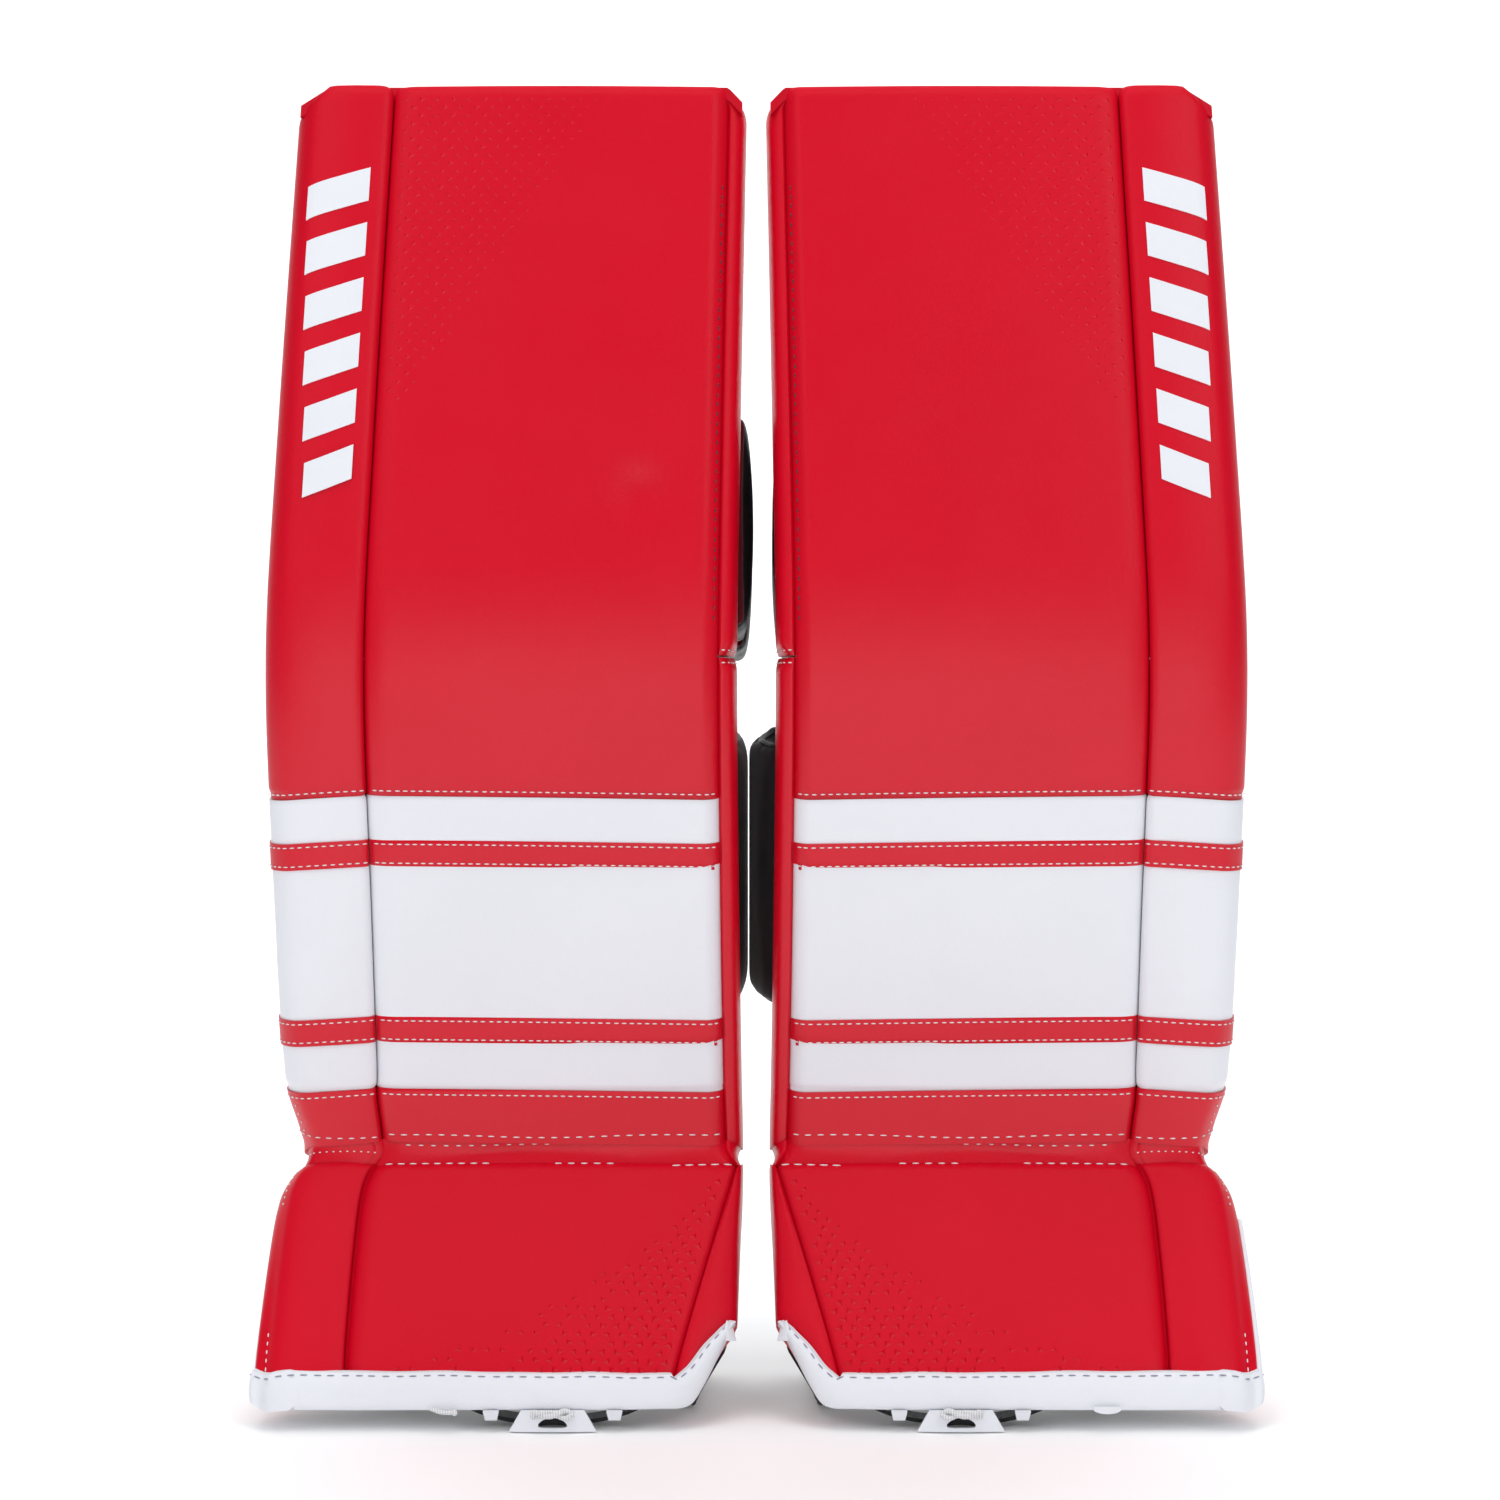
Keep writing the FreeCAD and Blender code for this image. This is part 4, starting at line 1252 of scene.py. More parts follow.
def shin_foot_at(side, share):
    """A place on the shin's foot, from its inner side across the face and round the roll."""
    if share < SIDE_PART:
        turn = 0.78 * (1 - share / SIDE_PART)
        return side_on_pad(side, turn, SHIN_END - break_drop(PAD_THICK * turn) + TUCK_IN, TUCK_UNDER)
    if share < FACE_PART:
        out = blend_to(0.0122, 0.2266, (share - SIDE_PART) / (FACE_PART - SIDE_PART))
        return face_on_pad(side, out, SHIN_END + TUCK_IN, TUCK_UNDER)
    turn = 0.90 * (share - FACE_PART) / (1 - FACE_PART)
    deep = roll_section(turn, 0.227, PAD_WIDE, PAD_THICK)[1]
    return roll_on_pad(side, turn, SHIN_END - break_drop(deep) + TUCK_IN, TUCK_UNDER)


def boot_head_at(side, share):
    """The place on the boot's head that faces the shin's foot."""
    if share < SIDE_PART:
        turn = 0.90 * (1 - share / SIDE_PART)
        return side_on_boot(side, turn, side_start(turn) + TUCK_IN, TUCK_UNDER)
    if share < FACE_PART:
        out = blend_to(0.0040, 0.2268, (share - SIDE_PART) / (FACE_PART - SIDE_PART))
        return face_on_boot(side, out, BOOT_START + TUCK_IN, TUCK_UNDER)
    turn = 0.90 * (share - FACE_PART) / (1 - FACE_PART)
    return roll_on_boot(side, turn, roll_start(turn) + TUCK_IN, TUCK_UNDER)


def make_gusset(side):
    """The loose folded strip of leather in the break between shin and boot, with its stitching."""

    def surface(u, v, lift):
        wave = 0.5 + 0.5 * math.sin(23 * u + 1.3) * math.sin(7 * u)
        bulge = math.sin(math.pi * v)
        point = shin_foot_at(side, u).lerp(boot_head_at(side, u), v)
        centre = on_pad(side, 0.14, SHIN_END - 0.012, 0.026)
        inward = (centre - point).normalized()
        point += inward * (0.0040 * bulge - 0.0028 * wave * bulge - lift)
        point.z += 0.0012 * math.sin(17 * u) * bulge
        return point

    made = layered(f"{side}_gusset", (90, 12), surface, 0.0008, -0.003, "red")
    dress(made, side, "break", ("boot_gusset",))

    def hinge(u, v, lift):
        out = blend_to(0.008, 0.266, u)
        top = on_pad(side, out, SHIN_END - break_drop(PAD_THICK) + 0.004, 0.0475)
        low = on_boot(side, out, BOOT_START - break_drop(BOOT_HEAD_THICK) + 0.004, 0.0495)
        point = top.lerp(low, v)
        point.y -= lift + 0.0015 * math.sin(math.pi * v)
        return point

    strip = layered(f"{side}_hinge_strip", (50, 10), hinge, 0, 0.002, "nylon")
    dress(strip, side, "break", ())
    rows = []
    for path, length, gap in (
        (straight((0.77, 0.55), (0.93, 0.55)), 0.0016, 0.0026),
        (straight((0.44, 0.18), (0.72, 0.18)), 0.0034, 0.0040),
    ):
        rows.append(dict(
            place=lambda u, v: surface(u, v, 0.0008), path=path, length=length, gap=gap,
            inside=on_pad(side, 0.15, SHIN_END, 0.030),
        ))
    made = sewn(f"{side}_gusset_stitching", "thread", rows)
    dress(made, side, "break", ())


def make_boot_stitches(side):
    """White rows along the boot's head and its outer edge."""

    def face(out, down):
        return face_on_boot(side, out, down)

    def roll(share, down):
        return roll_on_boot(side, share, down)

    head = inside_boot(side, 0.02)
    rows = []
    for place, inside, start, end, length, gap in (
        (face, head, (0.155, BOOT_START + 0.0016), (0.222, BOOT_START + 0.0016), 0.0052, 0.0022),
        (face, head, (0.078, BOOT_START + 0.0018), (0.118, BOOT_START + 0.0018), 0.0050, 0.0030),
        (face, head, (0.006, BOOT_START + 0.0016), (0.045, BOOT_START + 0.0036), 0.0060, 0.0010),
        (roll, on_boot(side, 0.25, 0.03, 0.03), (0.60, BOOT_START + 0.002), (0.60, 0.036), 0.0018, 0.0030),
        (roll, on_boot(side, 0.25, 0.14, 0.02), (0.57, 0.122), (0.57, 0.150), 0.0030, 0.0022),
    ):
        rows.append(dict(place=place, path=straight(start, end), inside=inside, length=length, gap=gap))
    made = sewn(f"{side}_boot_stitching", "thread", rows)
    dress(made, side, "boot", ())


# the boot's outline that the binding follows: (run, out, down, how wide), up to the outer roll
BINDING_RUN = (
    (0.00, -0.0015, 0.1175, 0.0040),
    (0.10, 0.0068, 0.1368, 0.0100),
    (0.20, 0.0168, 0.1590, 0.0150),
    (0.27, 0.0255, 0.1712, 0.0195),
    (0.34, 0.0420, 0.1750, 0.0215),
    (0.60, 0.1400, 0.1756, 0.0228),
    (0.88, 0.2550, 0.1756, 0.0235),
    (1.00, 0.2800, 0.1740, 0.0215),
)
ROLL_RUN = 0.88


def binding_place(side, u, v, lift, sink=0.0):
    """A place on the toe's binding: u along the boot's edge, v from its front hem round to the back."""
    out, down, wide = (ease(BINDING_RUN, u, column) for column in (1, 2, 3))
    wide += 0.0003 * math.sin(31 * u) + 0.0002 * math.sin(57 * u + 1)
    thick = boot_thick(down)
    pillow = 0.0014 * math.sin(math.pi * min(v / 0.6, 1)) ** 0.7 + 0.0014
    under = max(v - 0.6, 0) / 0.4
    if u > ROLL_RUN:
        share = blend_to(0.355, 0.84, (u - ROLL_RUN) / (1 - ROLL_RUN))
        low = down - wide * max(1 - v / 0.6, 0) - sink - 0.012 * max(share - 0.5, 0) / 0.34
        point = roll_on_boot(side, share, low, pillow * (1 - under) + lift - sink)
        if under:
            back = on_boot(side, 0.262 if share < 0.7 else 0.268, down - 0.0195, thick * 0.95)
            level = roll_on_boot(side, share, down - 0.002 - 0.012 * max(share - 0.5, 0) / 0.34, 0.001)
            point = level.lerp(back, under)
            point.z -= 0.0010 * math.sin(math.pi * under)
        return point
    before, after = max(u - 0.01, 0), u + 0.01
    ahead_out = ease(BINDING_RUN, after, 1) - ease(BINDING_RUN, before, 1)
    ahead_down = ease(BINDING_RUN, after, 2) - ease(BINDING_RUN, before, 2)
    size = math.hypot(ahead_out, ahead_down)
    in_out, in_down = ahead_down / size, -ahead_out / size
    places = (
        (0.00, wide, 0.00),
        (0.35, wide * 0.50, 0.00),
        (0.60, 0.0026, 0.04),
        (0.68, 0.0028, 0.16),
        (0.80, 0.0088, 0.46),
        (0.90, 0.0145, 0.74),
        (1.00, 0.0205, 0.97),
    )
    inward, through = ease(places, v, 1) + sink, ease(places, v, 2)
    place_out, place_down = out + in_out * inward, down + in_down * inward
    front = toe_fall(place_down)
    front += 0.0075 * max(1 - (place_out - corner_edge(place_down)) / 0.022, 0) ** 2
    deep = blend_to(front - pillow * (1 - under), thick, through) + (sink - lift) * (1 - through)
    return on_boot(side, place_out, place_down, deep)


def make_toe_binding(side):
    """The white leather binding round the toe and up the cut corner, with a small flared flap."""

    def inner(u, v):
        return binding_place(side, u, blend_to(0.01, 0.99, v), 0.0, 0.0022)

    made = closed_sheet(
        f"{side}_toe_binding_leather", (130, 36), lambda u, v: binding_place(side, u, v, 0), inner, "white",
        bunch=(0.2, 0),
    )
    dress(made, side, "boot", ("toe_binding",))
    centre = inside_boot(side, 0.150)
    rows = [dict(
        place=lambda u, v: binding_place(side, u, v, 0.0), inside=centre, length=0.0050, gap=0.0030,
        path=straight((0.02, 0.09), (0.985, 0.09)),
    )]
    made = sewn(f"{side}_binding_stitching", "grey_thread", rows)
    dress(made, side, "boot", ())

    def flap(u, v, lift):
        narrow = blend_to(0.35, 1.0, v)
        out = 0.0045 + (u - 0.5) * 0.0090 * narrow
        place = on_boot(side, out, blend_to(0.1130, 0.1270, v) + 0.0020 * (1 - u), 0.0065)
        place.y += -0.0050 * math.sin(math.pi / 2 * (1 - v)) - 0.0020 - lift + 0.006 * (1 - u) ** 2
        return place

    made = layered(f"{side}_binding_flap", (10, 10), flap, 0.0009, -0.0009, "white")
    dress(made, side, "boot", ())


def rope(name, points, radius, material, closed=False):
    """A round cord's mesh along points."""
    line = bpy.data.curves.new(name, "CURVE")
    line.dimensions = "3D"
    line.bevel_depth = radius
    line.bevel_resolution = 3
    line.use_fill_caps = True
    spline = line.splines.new("POLY")
    spline.points.add(len(points) - 1)
    for place, point in zip(points, spline.points):
        point.co = (*place, 1)
    spline.use_cyclic_u = closed
    holder = bpy.data.objects.new(name, line)
    data = bpy.data.meshes.new_from_object(holder)
    bpy.data.objects.remove(holder)
    mesh = bmesh.new()
    mesh.from_mesh(data)
    bpy.data.meshes.remove(data)
    bmesh.ops.remove_doubles(mesh, verts=mesh.verts, dist=1e-6)
    bmesh.ops.recalc_face_normals(mesh, faces=mesh.faces)
    return piece_from(mesh, name, material)


def make_boot_piping(side):
    """The thin white piping down the boot's outer edge."""
    share = 0.70 if side == "left" else 0.84
    points = [roll_on_boot(side, share, blend_to(0.040, 0.150, i / 40), 0.0006) for i in range(41)]
    made = rope(f"{side}_boot_piping", points, 0.0018, "white")
    dress(made, side, "boot", ())


# ---- the toe's tab, cord and strap ----------------------------------------------------------------------

TAB_MIDDLE = 0.110


def toe_place(side, x, y, z):
    """A place at the toe: x out from the inner edge, y behind the toe's end, z above the floor."""
    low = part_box(f"{side}_toe_bridge")[0]
    return Vector((SIDES[side] * (INNER_EDGE_OUT + x), low.y - 0.0045 + y, z))


def make_toe_bridge(side):
    """The white tab under the toe, with its slot."""
    mesh = bmesh.new()
    rim = bmesh.ops.create_circle(mesh, segments=64, radius=1)["verts"]
    slot = bmesh.ops.create_circle(mesh, segments=64, radius=0.5)["verts"]
    for vertex in rim:
        angle = math.atan2(vertex.co.y, vertex.co.x)
        square = 1 / max(abs(math.cos(angle)), abs(math.sin(angle)))
        across = math.cos(angle) * square
        high = math.sin(angle) * square
        wide = 0.0220 + 0.0035 * -high
        vertex.co = (across * wide, 0.0, 0.0010 + 0.0061 * (high + 1))
    for vertex in slot:
        angle = math.atan2(vertex.co.y, vertex.co.x)
        across = math.cos(angle)
        vertex.co = (across * 0.0085, 0.0, 0.0062 + 0.0030 * math.sin(angle) - 0.0016 * across ** 2)
    bmesh.ops.bridge_loops(mesh, edges=mesh.edges[:])
    bmesh.ops.subdivide_edges(mesh, edges=mesh.edges[:], cuts=1, use_grid_fill=True)
    bmesh.ops.recalc_face_normals(mesh, faces=mesh.faces)
    bmesh.ops.solidify(mesh, geom=mesh.faces[:], thickness=0.0026)
    for vertex in mesh.verts:
        curl = 0.004 * (vertex.co.x / 0.025) ** 2
        back = 0.0048 + vertex.co.y + curl * 0.3
        vertex.co = toe_place(side, TAB_MIDDLE + vertex.co.x, back, vertex.co.z)
    bmesh.ops.recalc_face_normals(mesh, faces=mesh.faces)
    tab = piece_from(mesh, f"{side}_toe_tab", "white")
    dress(tab, side, "toe_bridge", ("toe_bridge",))

    def loop(u, v, t):
        x = TAB_MIDDLE + (u - 0.5) * 0.0250
        high = 0.0022 + 0.0078 * v + 0.0012 * math.sin(math.pi * u)
        return toe_place(side, x, 0.0095 + 0.0016 * t, high)

    made = layered(f"{side}_toe_loop", (16, 10), loop, 0, 1, "webbing")
    dress(made, side, "toe_bridge", ())
    points = []
    for number in range(60):
        turn = 2 * math.pi * number / 60
        points.append(toe_place(
            side, TAB_MIDDLE + 0.0115 * math.sin(turn), 0.0015 + 0.0012 * math.cos(3 * turn),
            0.0113 + 0.0015 * math.sin(2 * turn) + 0.0006 * math.cos(5 * turn),
        ))
    knot = rope(f"{side}_toe_knot", points, 0.0016, "cord", closed=True)
    dress(knot, side, "toe_bridge", ())


def make_cord_end(side):
    """The cord's loose end with its knob, which lies along the toe's underside."""
    points = []
    for number in range(13):
        share = number / 12
        drop = 0.0026 * math.sin(math.pi / 2 * min(share * 1.6, 1))
        points.append(toe_place(side, 0.181 - 0.014 * share, 0.0010, 0.0152 - drop))
    stub = rope(f"{side}_toe_cord_end", points, 0.0013, "cord")
    mesh = bmesh.new()
    mesh.from_mesh(stub.data)
    bmesh.ops.create_uvsphere(
        mesh, u_segments=16, v_segments=10, radius=0.0019, matrix=Matrix.Translation(points[-1])
    )
    mesh.to_mesh(stub.data)
    mesh.free()
    stub.data.polygons.foreach_set("use_smooth", [True] * len(stub.data.polygons))
    dress(stub, side, "boot", ())


def make_toe_lip(side):
    """The small rounded leather lip under the toe's binding."""

    def lip(u, v, t):
        hang = 0.0005 + 0.0038 * math.sin(math.pi * blend_to(0.04, 0.96, u)) ** 0.4
        return toe_place(side, blend_to(0.187, 0.203, u), 0.0016 + 0.0014 * t, 0.0158 - hang * v)

    made = layered(f"{side}_toe_lip", (14, 6), lip, 0, 1, "white")
    dress(made, side, "boot", ())


def make_toe_strap(side):
    """The black elastic bow behind the tab, and its small white end tabs."""
    low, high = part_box(f"{side}_toe_strap")

    def bow(u, v, t):
        x = blend_to(0.058, 0.162, u)
        y = blend_to(low.y + 0.001, high.y - 0.001, v)
        sag = 0.0100 * (1 - abs(2 * u - 1) ** 2.6)
        return Vector((SIDES[side] * (INNER_EDGE_OUT + x), y, 0.0141 - sag - blend_to(0.0003, 0.0027, t)))

    made = layered(f"{side}_toe_elastic", (60, 14), bow, 1, 0, "webbing")
    dress(made, side, "toe_strap", ("toe_strap",))
    for number, middle in enumerate((TAB_MIDDLE - 0.036, TAB_MIDDLE + 0.036), 1):

        def end_tab(u, v, t):
            x = middle + blend_to(-0.0046, 0.0046, u) * (1 - 0.25 * v)
            back = blend_to(0.0030, 0.0048, v) + 0.0018 * t
            return toe_place(side, x, back, 0.0122 - 0.0050 * v + 0.0010 * t)

        made = layered(f"{side}_toe_end_tab_{number}", (10, 8), end_tab, 0, 1, "white")
        dress(made, side, "boot", ())


# ---- padding and straps behind the pads -----------------------------------------------------------------

FLOOR_GAP = 0.0006
STACK_OUT = {"right": -0.007, "left": 0.001}


def cushion(name, steps, place, slack, material, rim, edge=0.3):
    """A padded plate before it swells: place(u, v, t) with t through its thickness, rounded at its rim."""

    def skin(u, v, way):
        near_u = min(min(u, 1 - u) / rim[0], 1)
        near_v = min(min(v, 1 - v) / rim[1], 1)
        full = math.sqrt(1 - (1 - near_u) ** 2) * math.sqrt(1 - (1 - near_v) ** 2)
        t = 0.5 + way * 0.5 * (edge + (1 - edge) * full)
        slack_u, slack_v = slack
        return place(
            blend_to(slack_u, 1 - slack_u, u), blend_to(slack_v, 1 - slack_v, v), blend_to(0.10, 0.90, t)
        )

    return layered(name, steps, skin, 1, -1, material)


SWELL_VOXEL = 0.0045
SWELL_FRAMES = 20


def swell(pieces):
    """One cloth simulation that blows the simulated cushions up, each point held to a small swell."""
    chosen = settings()
    scene = bpy.context.scene
    starts = {}
    for piece in pieces:
        remesh = piece.modifiers.new("even mesh", "REMESH")
        remesh.mode = "VOXEL"
        remesh.voxel_size = SWELL_VOXEL
        graph = bpy.context.evaluated_depsgraph_get()
        even = bpy.data.meshes.new_from_object(piece.evaluated_get(graph))
        piece.modifiers.clear()
        piece.data = even
        starts[piece] = [vertex.co.copy() for vertex in even.vertices]
        cloth = piece.modifiers.new("cloth", "CLOTH")
        cloth.settings.use_pressure = True
        cloth.settings.uniform_pressure_force = chosen.padding_pressure
        cloth.settings.effector_weights.gravity = 0
        cloth.point_cache.frame_start = 1
        cloth.point_cache.frame_end = SWELL_FRAMES
    for number in range(1, SWELL_FRAMES + 1):
        scene.frame_set(number)
    graph = bpy.context.evaluated_depsgraph_get()
    swollen = {piece: bpy.data.meshes.new_from_object(piece.evaluated_get(graph)) for piece in pieces}
    scene.frame_set(1)
    for piece, mesh in swollen.items():
        piece.modifiers.clear()
        for vertex, start in zip(mesh.vertices, starts[piece]):
            moved = vertex.co - start
            if moved.length > chosen.padding_swell:
                moved *= chosen.padding_swell / moved.length
            vertex.co = start + moved
            vertex.co.z = max(vertex.co.z, FLOOR_GAP)
        mesh.polygons.foreach_set("use_smooth", [True] * len(mesh.polygons))
        piece.data = mesh
        smooth = piece.modifiers.new("smooth", "SMOOTH")
        smooth.factor = 0.5
        smooth.iterations = 3
        finer = piece.modifiers.new("finer", "SUBSURF")
        finer.levels = 1
        finer.render_levels = 1


def rim_binding(name, cushion_piece, place, material, radius, t):
    """The sewn tape round a cushion's edge: an outline of the cushion, laid onto its finished surface."""
    mesh = bmesh.new()
    mesh.from_object(cushion_piece, bpy.context.evaluated_depsgraph_get())
    surface = BVHTree.FromBMesh(mesh)
    mesh.free()
    corners = ((0, 0), (1, 0), (1, 1), (0, 1))
    points = []
    for start, end in zip(corners, corners[1:] + corners[:1]):
        edge = straight(start, end)
        for step in range(30):
            outline = place(*edge(step / 30), t)
            point = surface.find_nearest(outline)[0]
            point.z = max(point.z, radius + FLOOR_GAP)
            if not points or (point - points[-1]).length > radius * 0.8:
                points.append(point)
    for _ in range(3):
        following = points[1:] + points[:1]
        before = points[-1:] + points[:-1]
        points = [(low + middle * 2 + high) / 4 for low, middle, high in zip(before, points, following)]
    return rope(name, points, radius, material, closed=True)


CALF_BULGE = {"right": 0.004, "left": 0.014}
CALF_HEIGHTS = (-0.238, -0.058)
# the outer flap runs straight back, round a bend and across, by its length from the shin
FLAP_LONG = 0.1408
FLAP_BEND = 0.0571
FLAP_BENT = 0.0948
FLAP_RADIUS = 0.024


def make_padding(side):
    """The knee blocks, knee wing, calf wall and calf flaps, each with what its tape needs."""
    simulated = []

    def block(near, far):
        def place(u, v, t):
            return behind_thigh(
                side, STACK_OUT[side] + 0.061 * u, blend_to(0.026, 0.171, v), blend_to(near, far, t)
            )

        return place

    def wing(u, v, t):
        x = blend_to(0.198, 0.188, u) + 0.011 * t
        return behind_thigh(side, x, blend_to(0.036, 0.150, v), blend_to(0.0506, 0.1466, u))

    def wall(u, v, t):
        x = 0.004 + 0.012 * t - CALF_BULGE[side] * math.sin(math.pi * u)
        return behind_shin(side, x, blend_to(*CALF_HEIGHTS, v), blend_to(0.0523, 0.1403, u))

    def inner_flap(u, v, t):
        return behind_shin(
            side, blend_to(0.004, 0.150, u), blend_to(*CALF_HEIGHTS, v), blend_to(0.1412, 0.1532, t)
        )

    def outer_flap(u, v, t):
        run = u * FLAP_LONG
        if run < FLAP_BEND:
            x, deep, turn = 0.196, 0.0526 + run, 0.0
        elif run < FLAP_BENT:
            turn = (run - FLAP_BEND) / FLAP_RADIUS
            x, deep = 0.172 + FLAP_RADIUS * math.cos(turn), 0.1097 + FLAP_RADIUS * math.sin(turn)
        else:
            x, deep, turn = 0.172 - (run - FLAP_BENT), 0.1337, math.pi / 2
        x += math.cos(turn) * 0.012 * (t - 0.5)
        deep += math.sin(turn) * 0.012 * (t - 0.5)
        return behind_shin(side, x, blend_to(*CALF_HEIGHTS, v), deep)

    plates = (
        ("wing", wing, "knee_wing", "knee_wing", (24, 28), (0.1, 0.1)),
        ("calf_wall_pad", wall, "shin", "calf_wall", (24, 44), (0.1, 0.06)),
        ("inner_flap", inner_flap, "calf_flap_inner", "calf_flap_inner", (34, 44), (0.06, 0.05)),
        ("outer_flap", outer_flap, "calf_flap_outer", "calf_flap_outer", (40, 44), (0.06, 0.05)),
    )
    for name, near, far in (("riser", 0.0503, 0.1183), ("landing", 0.1186, 0.1836)):
        place = block(near, far)
        made = cushion(f"{side}_{name}", (20, 40), place, (0.07, 0.025), "leather_black", (0.2, 0.1), 0.8)
        hems = (("_1", 0.0), ("_2", 1.0))
        simulated.append((made, side, "thigh", f"knee_{name}", place, "maroon", hems))
    for name, place, body, node, steps, rim in plates:
        made = cushion(f"{side}_{name}", steps, place, (0.03, 0.025), "nylon", rim)
        simulated.append((made, side, body, node, place, "leather_black", (("", 0.5),)))
    return simulated


def strap(side, name, place, steps, length, wide):
    """A flat strap: place(u, v, t), its free end rounded, with sewn edges and a patch of loop pile."""

    def cut(u, v, t):
        end = wide / 2 / length
        share = max(u - (1 - end), 0) / end
        half = math.sqrt(max(1 - share ** 2, 0.0004))
        return place(u, 0.5 + (v - 0.5) * half, t)

    made = layered(f"{side}_{name}_webbing", steps, cut, 1.0, 0.0, "webbing", bunch=(0.2, 0.4))
    dress(made, side, name, (name,))
    inside = place(0.5, 0.5, 0.0)
    rows = []
    for start, end in (
        ((0.04, 0.07), (0.95, 0.07)), ((0.04, 0.93), (0.95, 0.93)),
        ((0.06, 0.12), (0.22, 0.88)), ((0.06, 0.88), (0.22, 0.12)),
        ((0.06, 0.12), (0.06, 0.88)), ((0.22, 0.12), (0.22, 0.88)),
    ):
        rows.append(dict(place=lambda u, v: cut(u, v, 1.0), inside=inside, path=straight(start, end)))
    made = sewn(f"{side}_{name}_stitching", "dark_thread", rows)
    dress(made, side, name, ())

    def patch(u, v, t):
        along, across = blend_to(0.50, 0.92, u), blend_to(0.14, 0.86, v)
        point = cut(along, across, 1.0)
        return point + (point - cut(along, across, 0.0)) * 0.25 * t

    made = layered(f"{side}_{name}_pile", (24, 14), patch, 1, -0.6, "pile")
    dress(made, side, name, ())


def make_straps(side):
    """The knee, calf and boot straps."""

    def knee(u, v, t):
        return behind_thigh(
            side, blend_to(0.0645, 0.206, u), blend_to(0.068, 0.118, v), blend_to(0.1545, 0.1575, t)
        )

    strap(side, "knee_strap", knee, (50, 20), 0.1415, 0.050)

    def calf(u, v, t):
        return behind_shin(
            side, blend_to(0.0605, 0.188, u), blend_to(-0.173, -0.123, v), blend_to(0.1547, 0.1577, t)
        )

    strap(side, "calf_strap", calf, (50, 20), 0.1275, 0.050)

    def boot(u, v, t):
        run = u * 0.213
        if run < 0.179:
            x, y = 0.0285 + run, blend_to(0.0672, 0.0702, t)
        elif run < 0.186:
            turn = (run - 0.179) / 0.007 * math.pi / 2
            x = 0.2077 + blend_to(0.0015, 0.0045, t) * math.sin(turn)
            y = 0.0657 + blend_to(0.0015, 0.0045, t) * math.cos(turn)
        else:
            x, y = blend_to(0.2092, 0.2122, t), 0.0657 - (run - 0.186)
        return at_foot(side, x, y, blend_to(0.042, 0.078, v))

    strap(side, "boot_strap", boot, (110, 16), 0.213, 0.036)


def make_boot_walls(side):
    """The two padded walls behind the boot that stand on the floor."""
    simulated = []
    for name, x in (("inner", 0.024), ("outer", 0.196)):

        def wall(u, v, t, x=x):
            y = blend_to(-0.055, 0.066, u)
            if y < 0.040:
                top = 0.035 + 0.082 * (y + 0.055) / 0.095
            else:
                top = 0.117 - 0.021 * (y - 0.040) / 0.026
            return at_foot(side, x + 0.012 * t, y, top * v)

        made = cushion(f"{side}_{name}_boot_wall", (34, 30), wall, (0.03, 0.03), "nylon", (0.08, 0.08))
        simulated.append((made, side, "boot", "boot_walls", wall, "leather_black", (("", 0.5),)))
    return simulated


# ---- the add-on's operators -----------------------------------------------------------------------------

class OBJECT_OT_pad_covers(bpy.types.Operator):
    """Builds the faces, rolls, sides and backs of the thighs and shins"""

    bl_idname = "object.pad_covers"
    bl_label = "Thigh and shin covers"

    def execute(self, context):
        for side in SIDES:
            make_upper_face(side)
            make_shin_faces(side)
            make_rolls(side)
            make_inner_sides(side)
            make_backs(side)
        return {"FINISHED"}


class OBJECT_OT_pad_stitching(bpy.types.Operator):
    """Sews the thigh and shin, and adds the roll's generic mark"""

    bl_idname = "object.pad_stitching"
    bl_label = "Stitching and roll mark"

    def execute(self, context):
        for side in SIDES:
            make_shin_stitches(side)
            make_side_stitches(side)
            make_roll_marks(side)
        return {"FINISHED"}


class OBJECT_OT_pad_boots(bpy.types.Operator):
    """Builds the boots, their gussets, binding, stitching and piping"""

    bl_idname = "object.pad_boots"
    bl_label = "Boots"

    def execute(self, context):
        for side in SIDES:
            make_boot_covers(side)
            make_gusset(side)
            make_boot_stitches(side)
            make_toe_binding(side)
            make_boot_piping(side)
        return {"FINISHED"}


class OBJECT_OT_pad_toes(bpy.types.Operator):
    """Builds the tabs, cords and elastic straps at the toes"""

    bl_idname = "object.pad_toes"
    bl_label = "Toe tabs and straps"

    def execute(self, context):
        for side in SIDES:
            make_toe_bridge(side)
            make_toe_strap(side)
        make_cord_end("right")
        make_toe_lip("left")
        return {"FINISHED"}


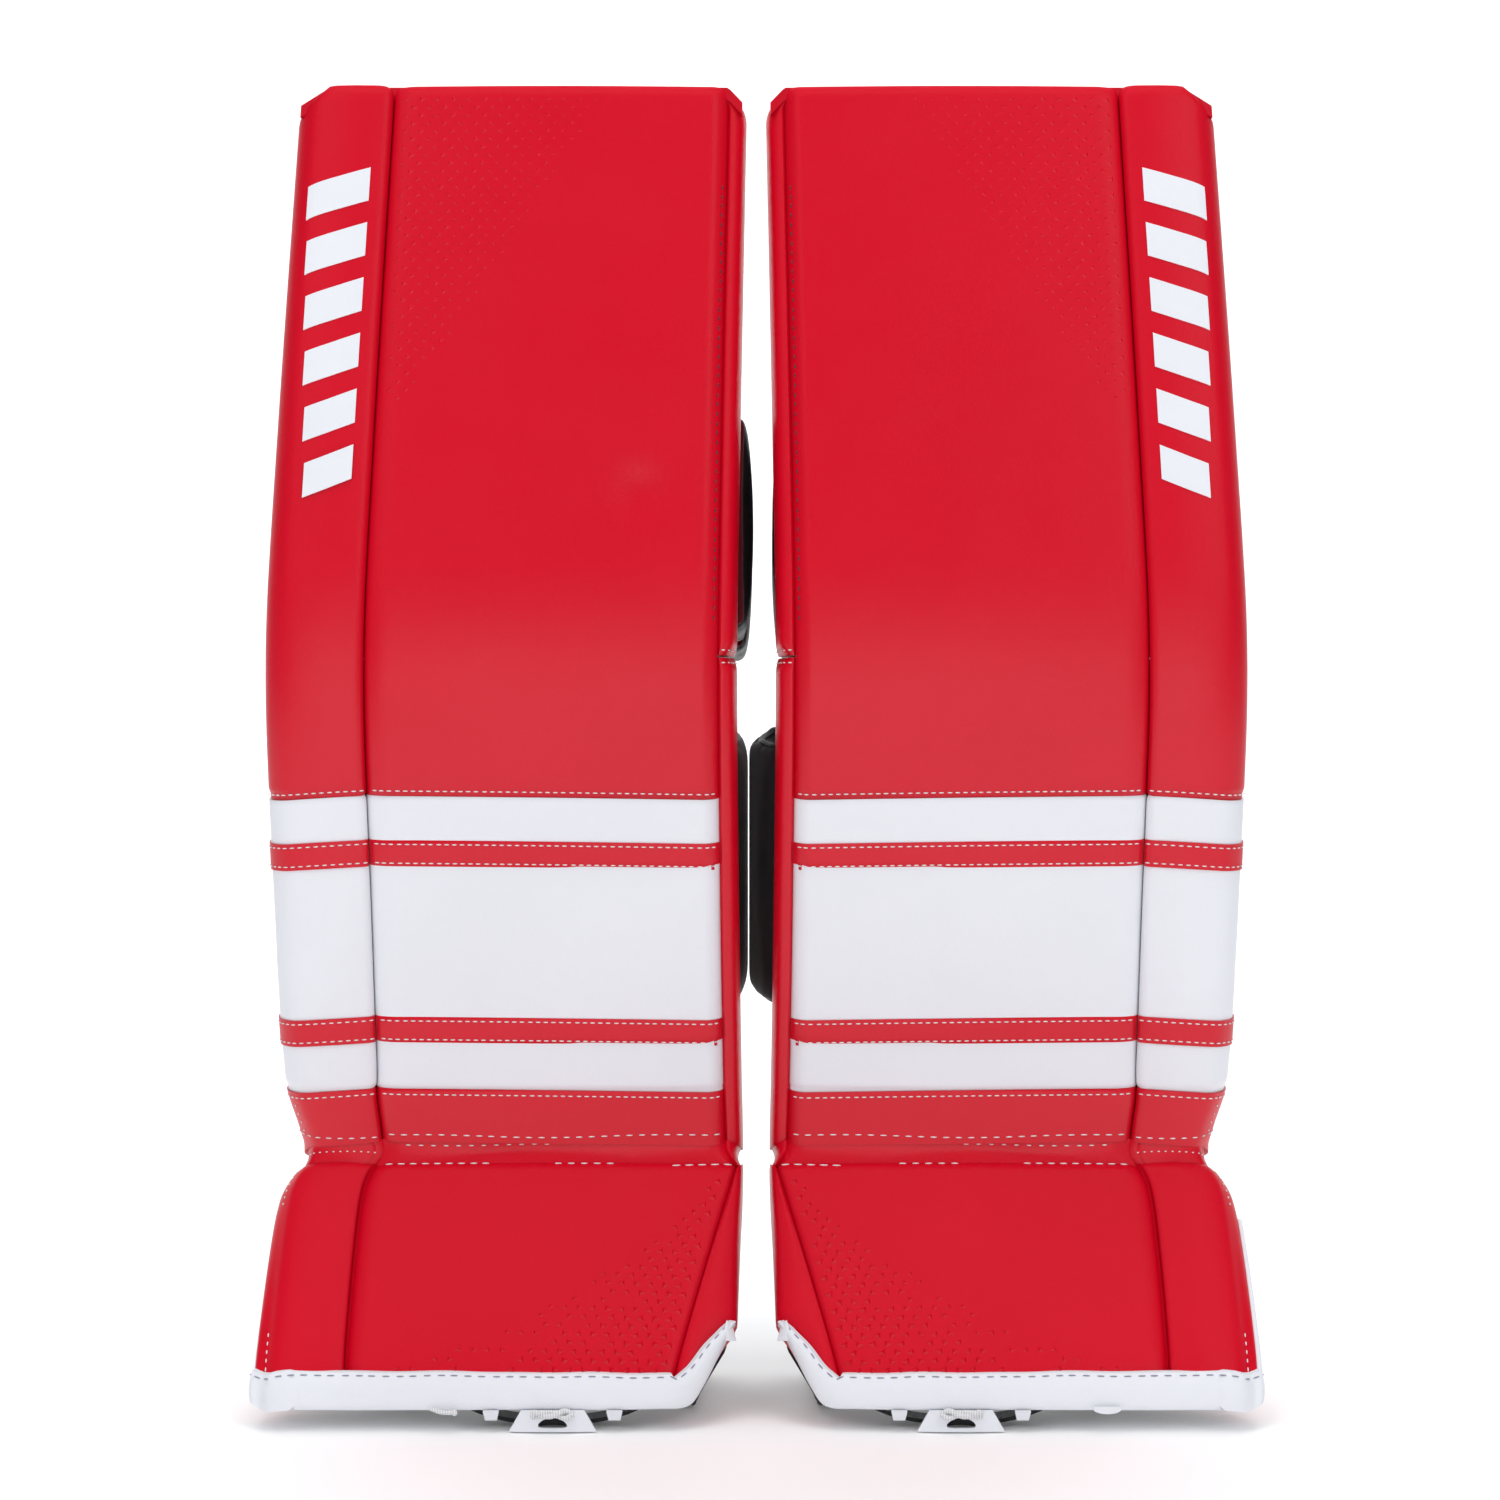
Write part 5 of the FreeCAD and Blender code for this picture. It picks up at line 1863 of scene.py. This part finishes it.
class OBJECT_OT_pad_padding(bpy.types.Operator):
    """Builds the padding behind the pads and swells it with one cloth simulation"""

    bl_idname = "object.pad_padding"
    bl_label = "Knee, calf and boot padding"

    def execute(self, context):
        simulated = []
        for side in SIDES:
            simulated += make_padding(side)
            simulated += make_boot_walls(side)
        swell([cushion_made[0] for cushion_made in simulated])
        for made, side, body, node, place, tape, hems in simulated:
            for ending, t in hems:
                taped = rim_binding(f"{made.name}_binding{ending}", made, place, tape, 0.0022, t)
                dress(taped, side, body, ())
            dress(made, side, body, (node,))
        return {"FINISHED"}


class OBJECT_OT_pad_straps(bpy.types.Operator):
    """Builds the knee, calf and boot straps"""

    bl_idname = "object.pad_straps"
    bl_label = "Straps"

    def execute(self, context):
        for side in SIDES:
            make_straps(side)
        return {"FINISHED"}


class VIEW3D_PT_goalie_pads(bpy.types.Panel):
    """The add-on's buttons and settings"""

    bl_label = "Goalie pads"
    bl_space_type = "VIEW_3D"
    bl_region_type = "UI"
    bl_category = "Goalie pads"

    def draw(self, context):
        chosen = context.scene.goalie_pads
        for name in GoaliePadSettings.__annotations__:
            self.layout.prop(chosen, name)
        for each in STEPS:
            self.layout.operator(each.bl_idname)


STEPS = (
    OBJECT_OT_pad_stage, OBJECT_OT_pad_covers, OBJECT_OT_pad_stitching, OBJECT_OT_pad_boots,
    OBJECT_OT_pad_toes, OBJECT_OT_pad_padding, OBJECT_OT_pad_straps,
)
CLASSES = (GoaliePadSettings, *STEPS, VIEW3D_PT_goalie_pads)


def register():
    """Registers the add-on."""
    for each in CLASSES:
        bpy.utils.register_class(each)
    bpy.types.Scene.goalie_pads = bpy.props.PointerProperty(type=GoaliePadSettings)


def unregister():
    """Takes the add-on out again."""
    del bpy.types.Scene.goalie_pads
    for each in reversed(CLASSES):
        bpy.utils.unregister_class(each)


def main():
    """Builds everything in order."""
    register()
    make_materials()
    bpy.ops.object.pad_stage()
    bpy.ops.object.pad_covers()
    bpy.ops.object.pad_stitching()
    bpy.ops.object.pad_boots()
    bpy.ops.object.pad_toes()
    bpy.ops.object.pad_padding()
    bpy.ops.object.pad_straps()


if __name__ == "__main__":
    main()
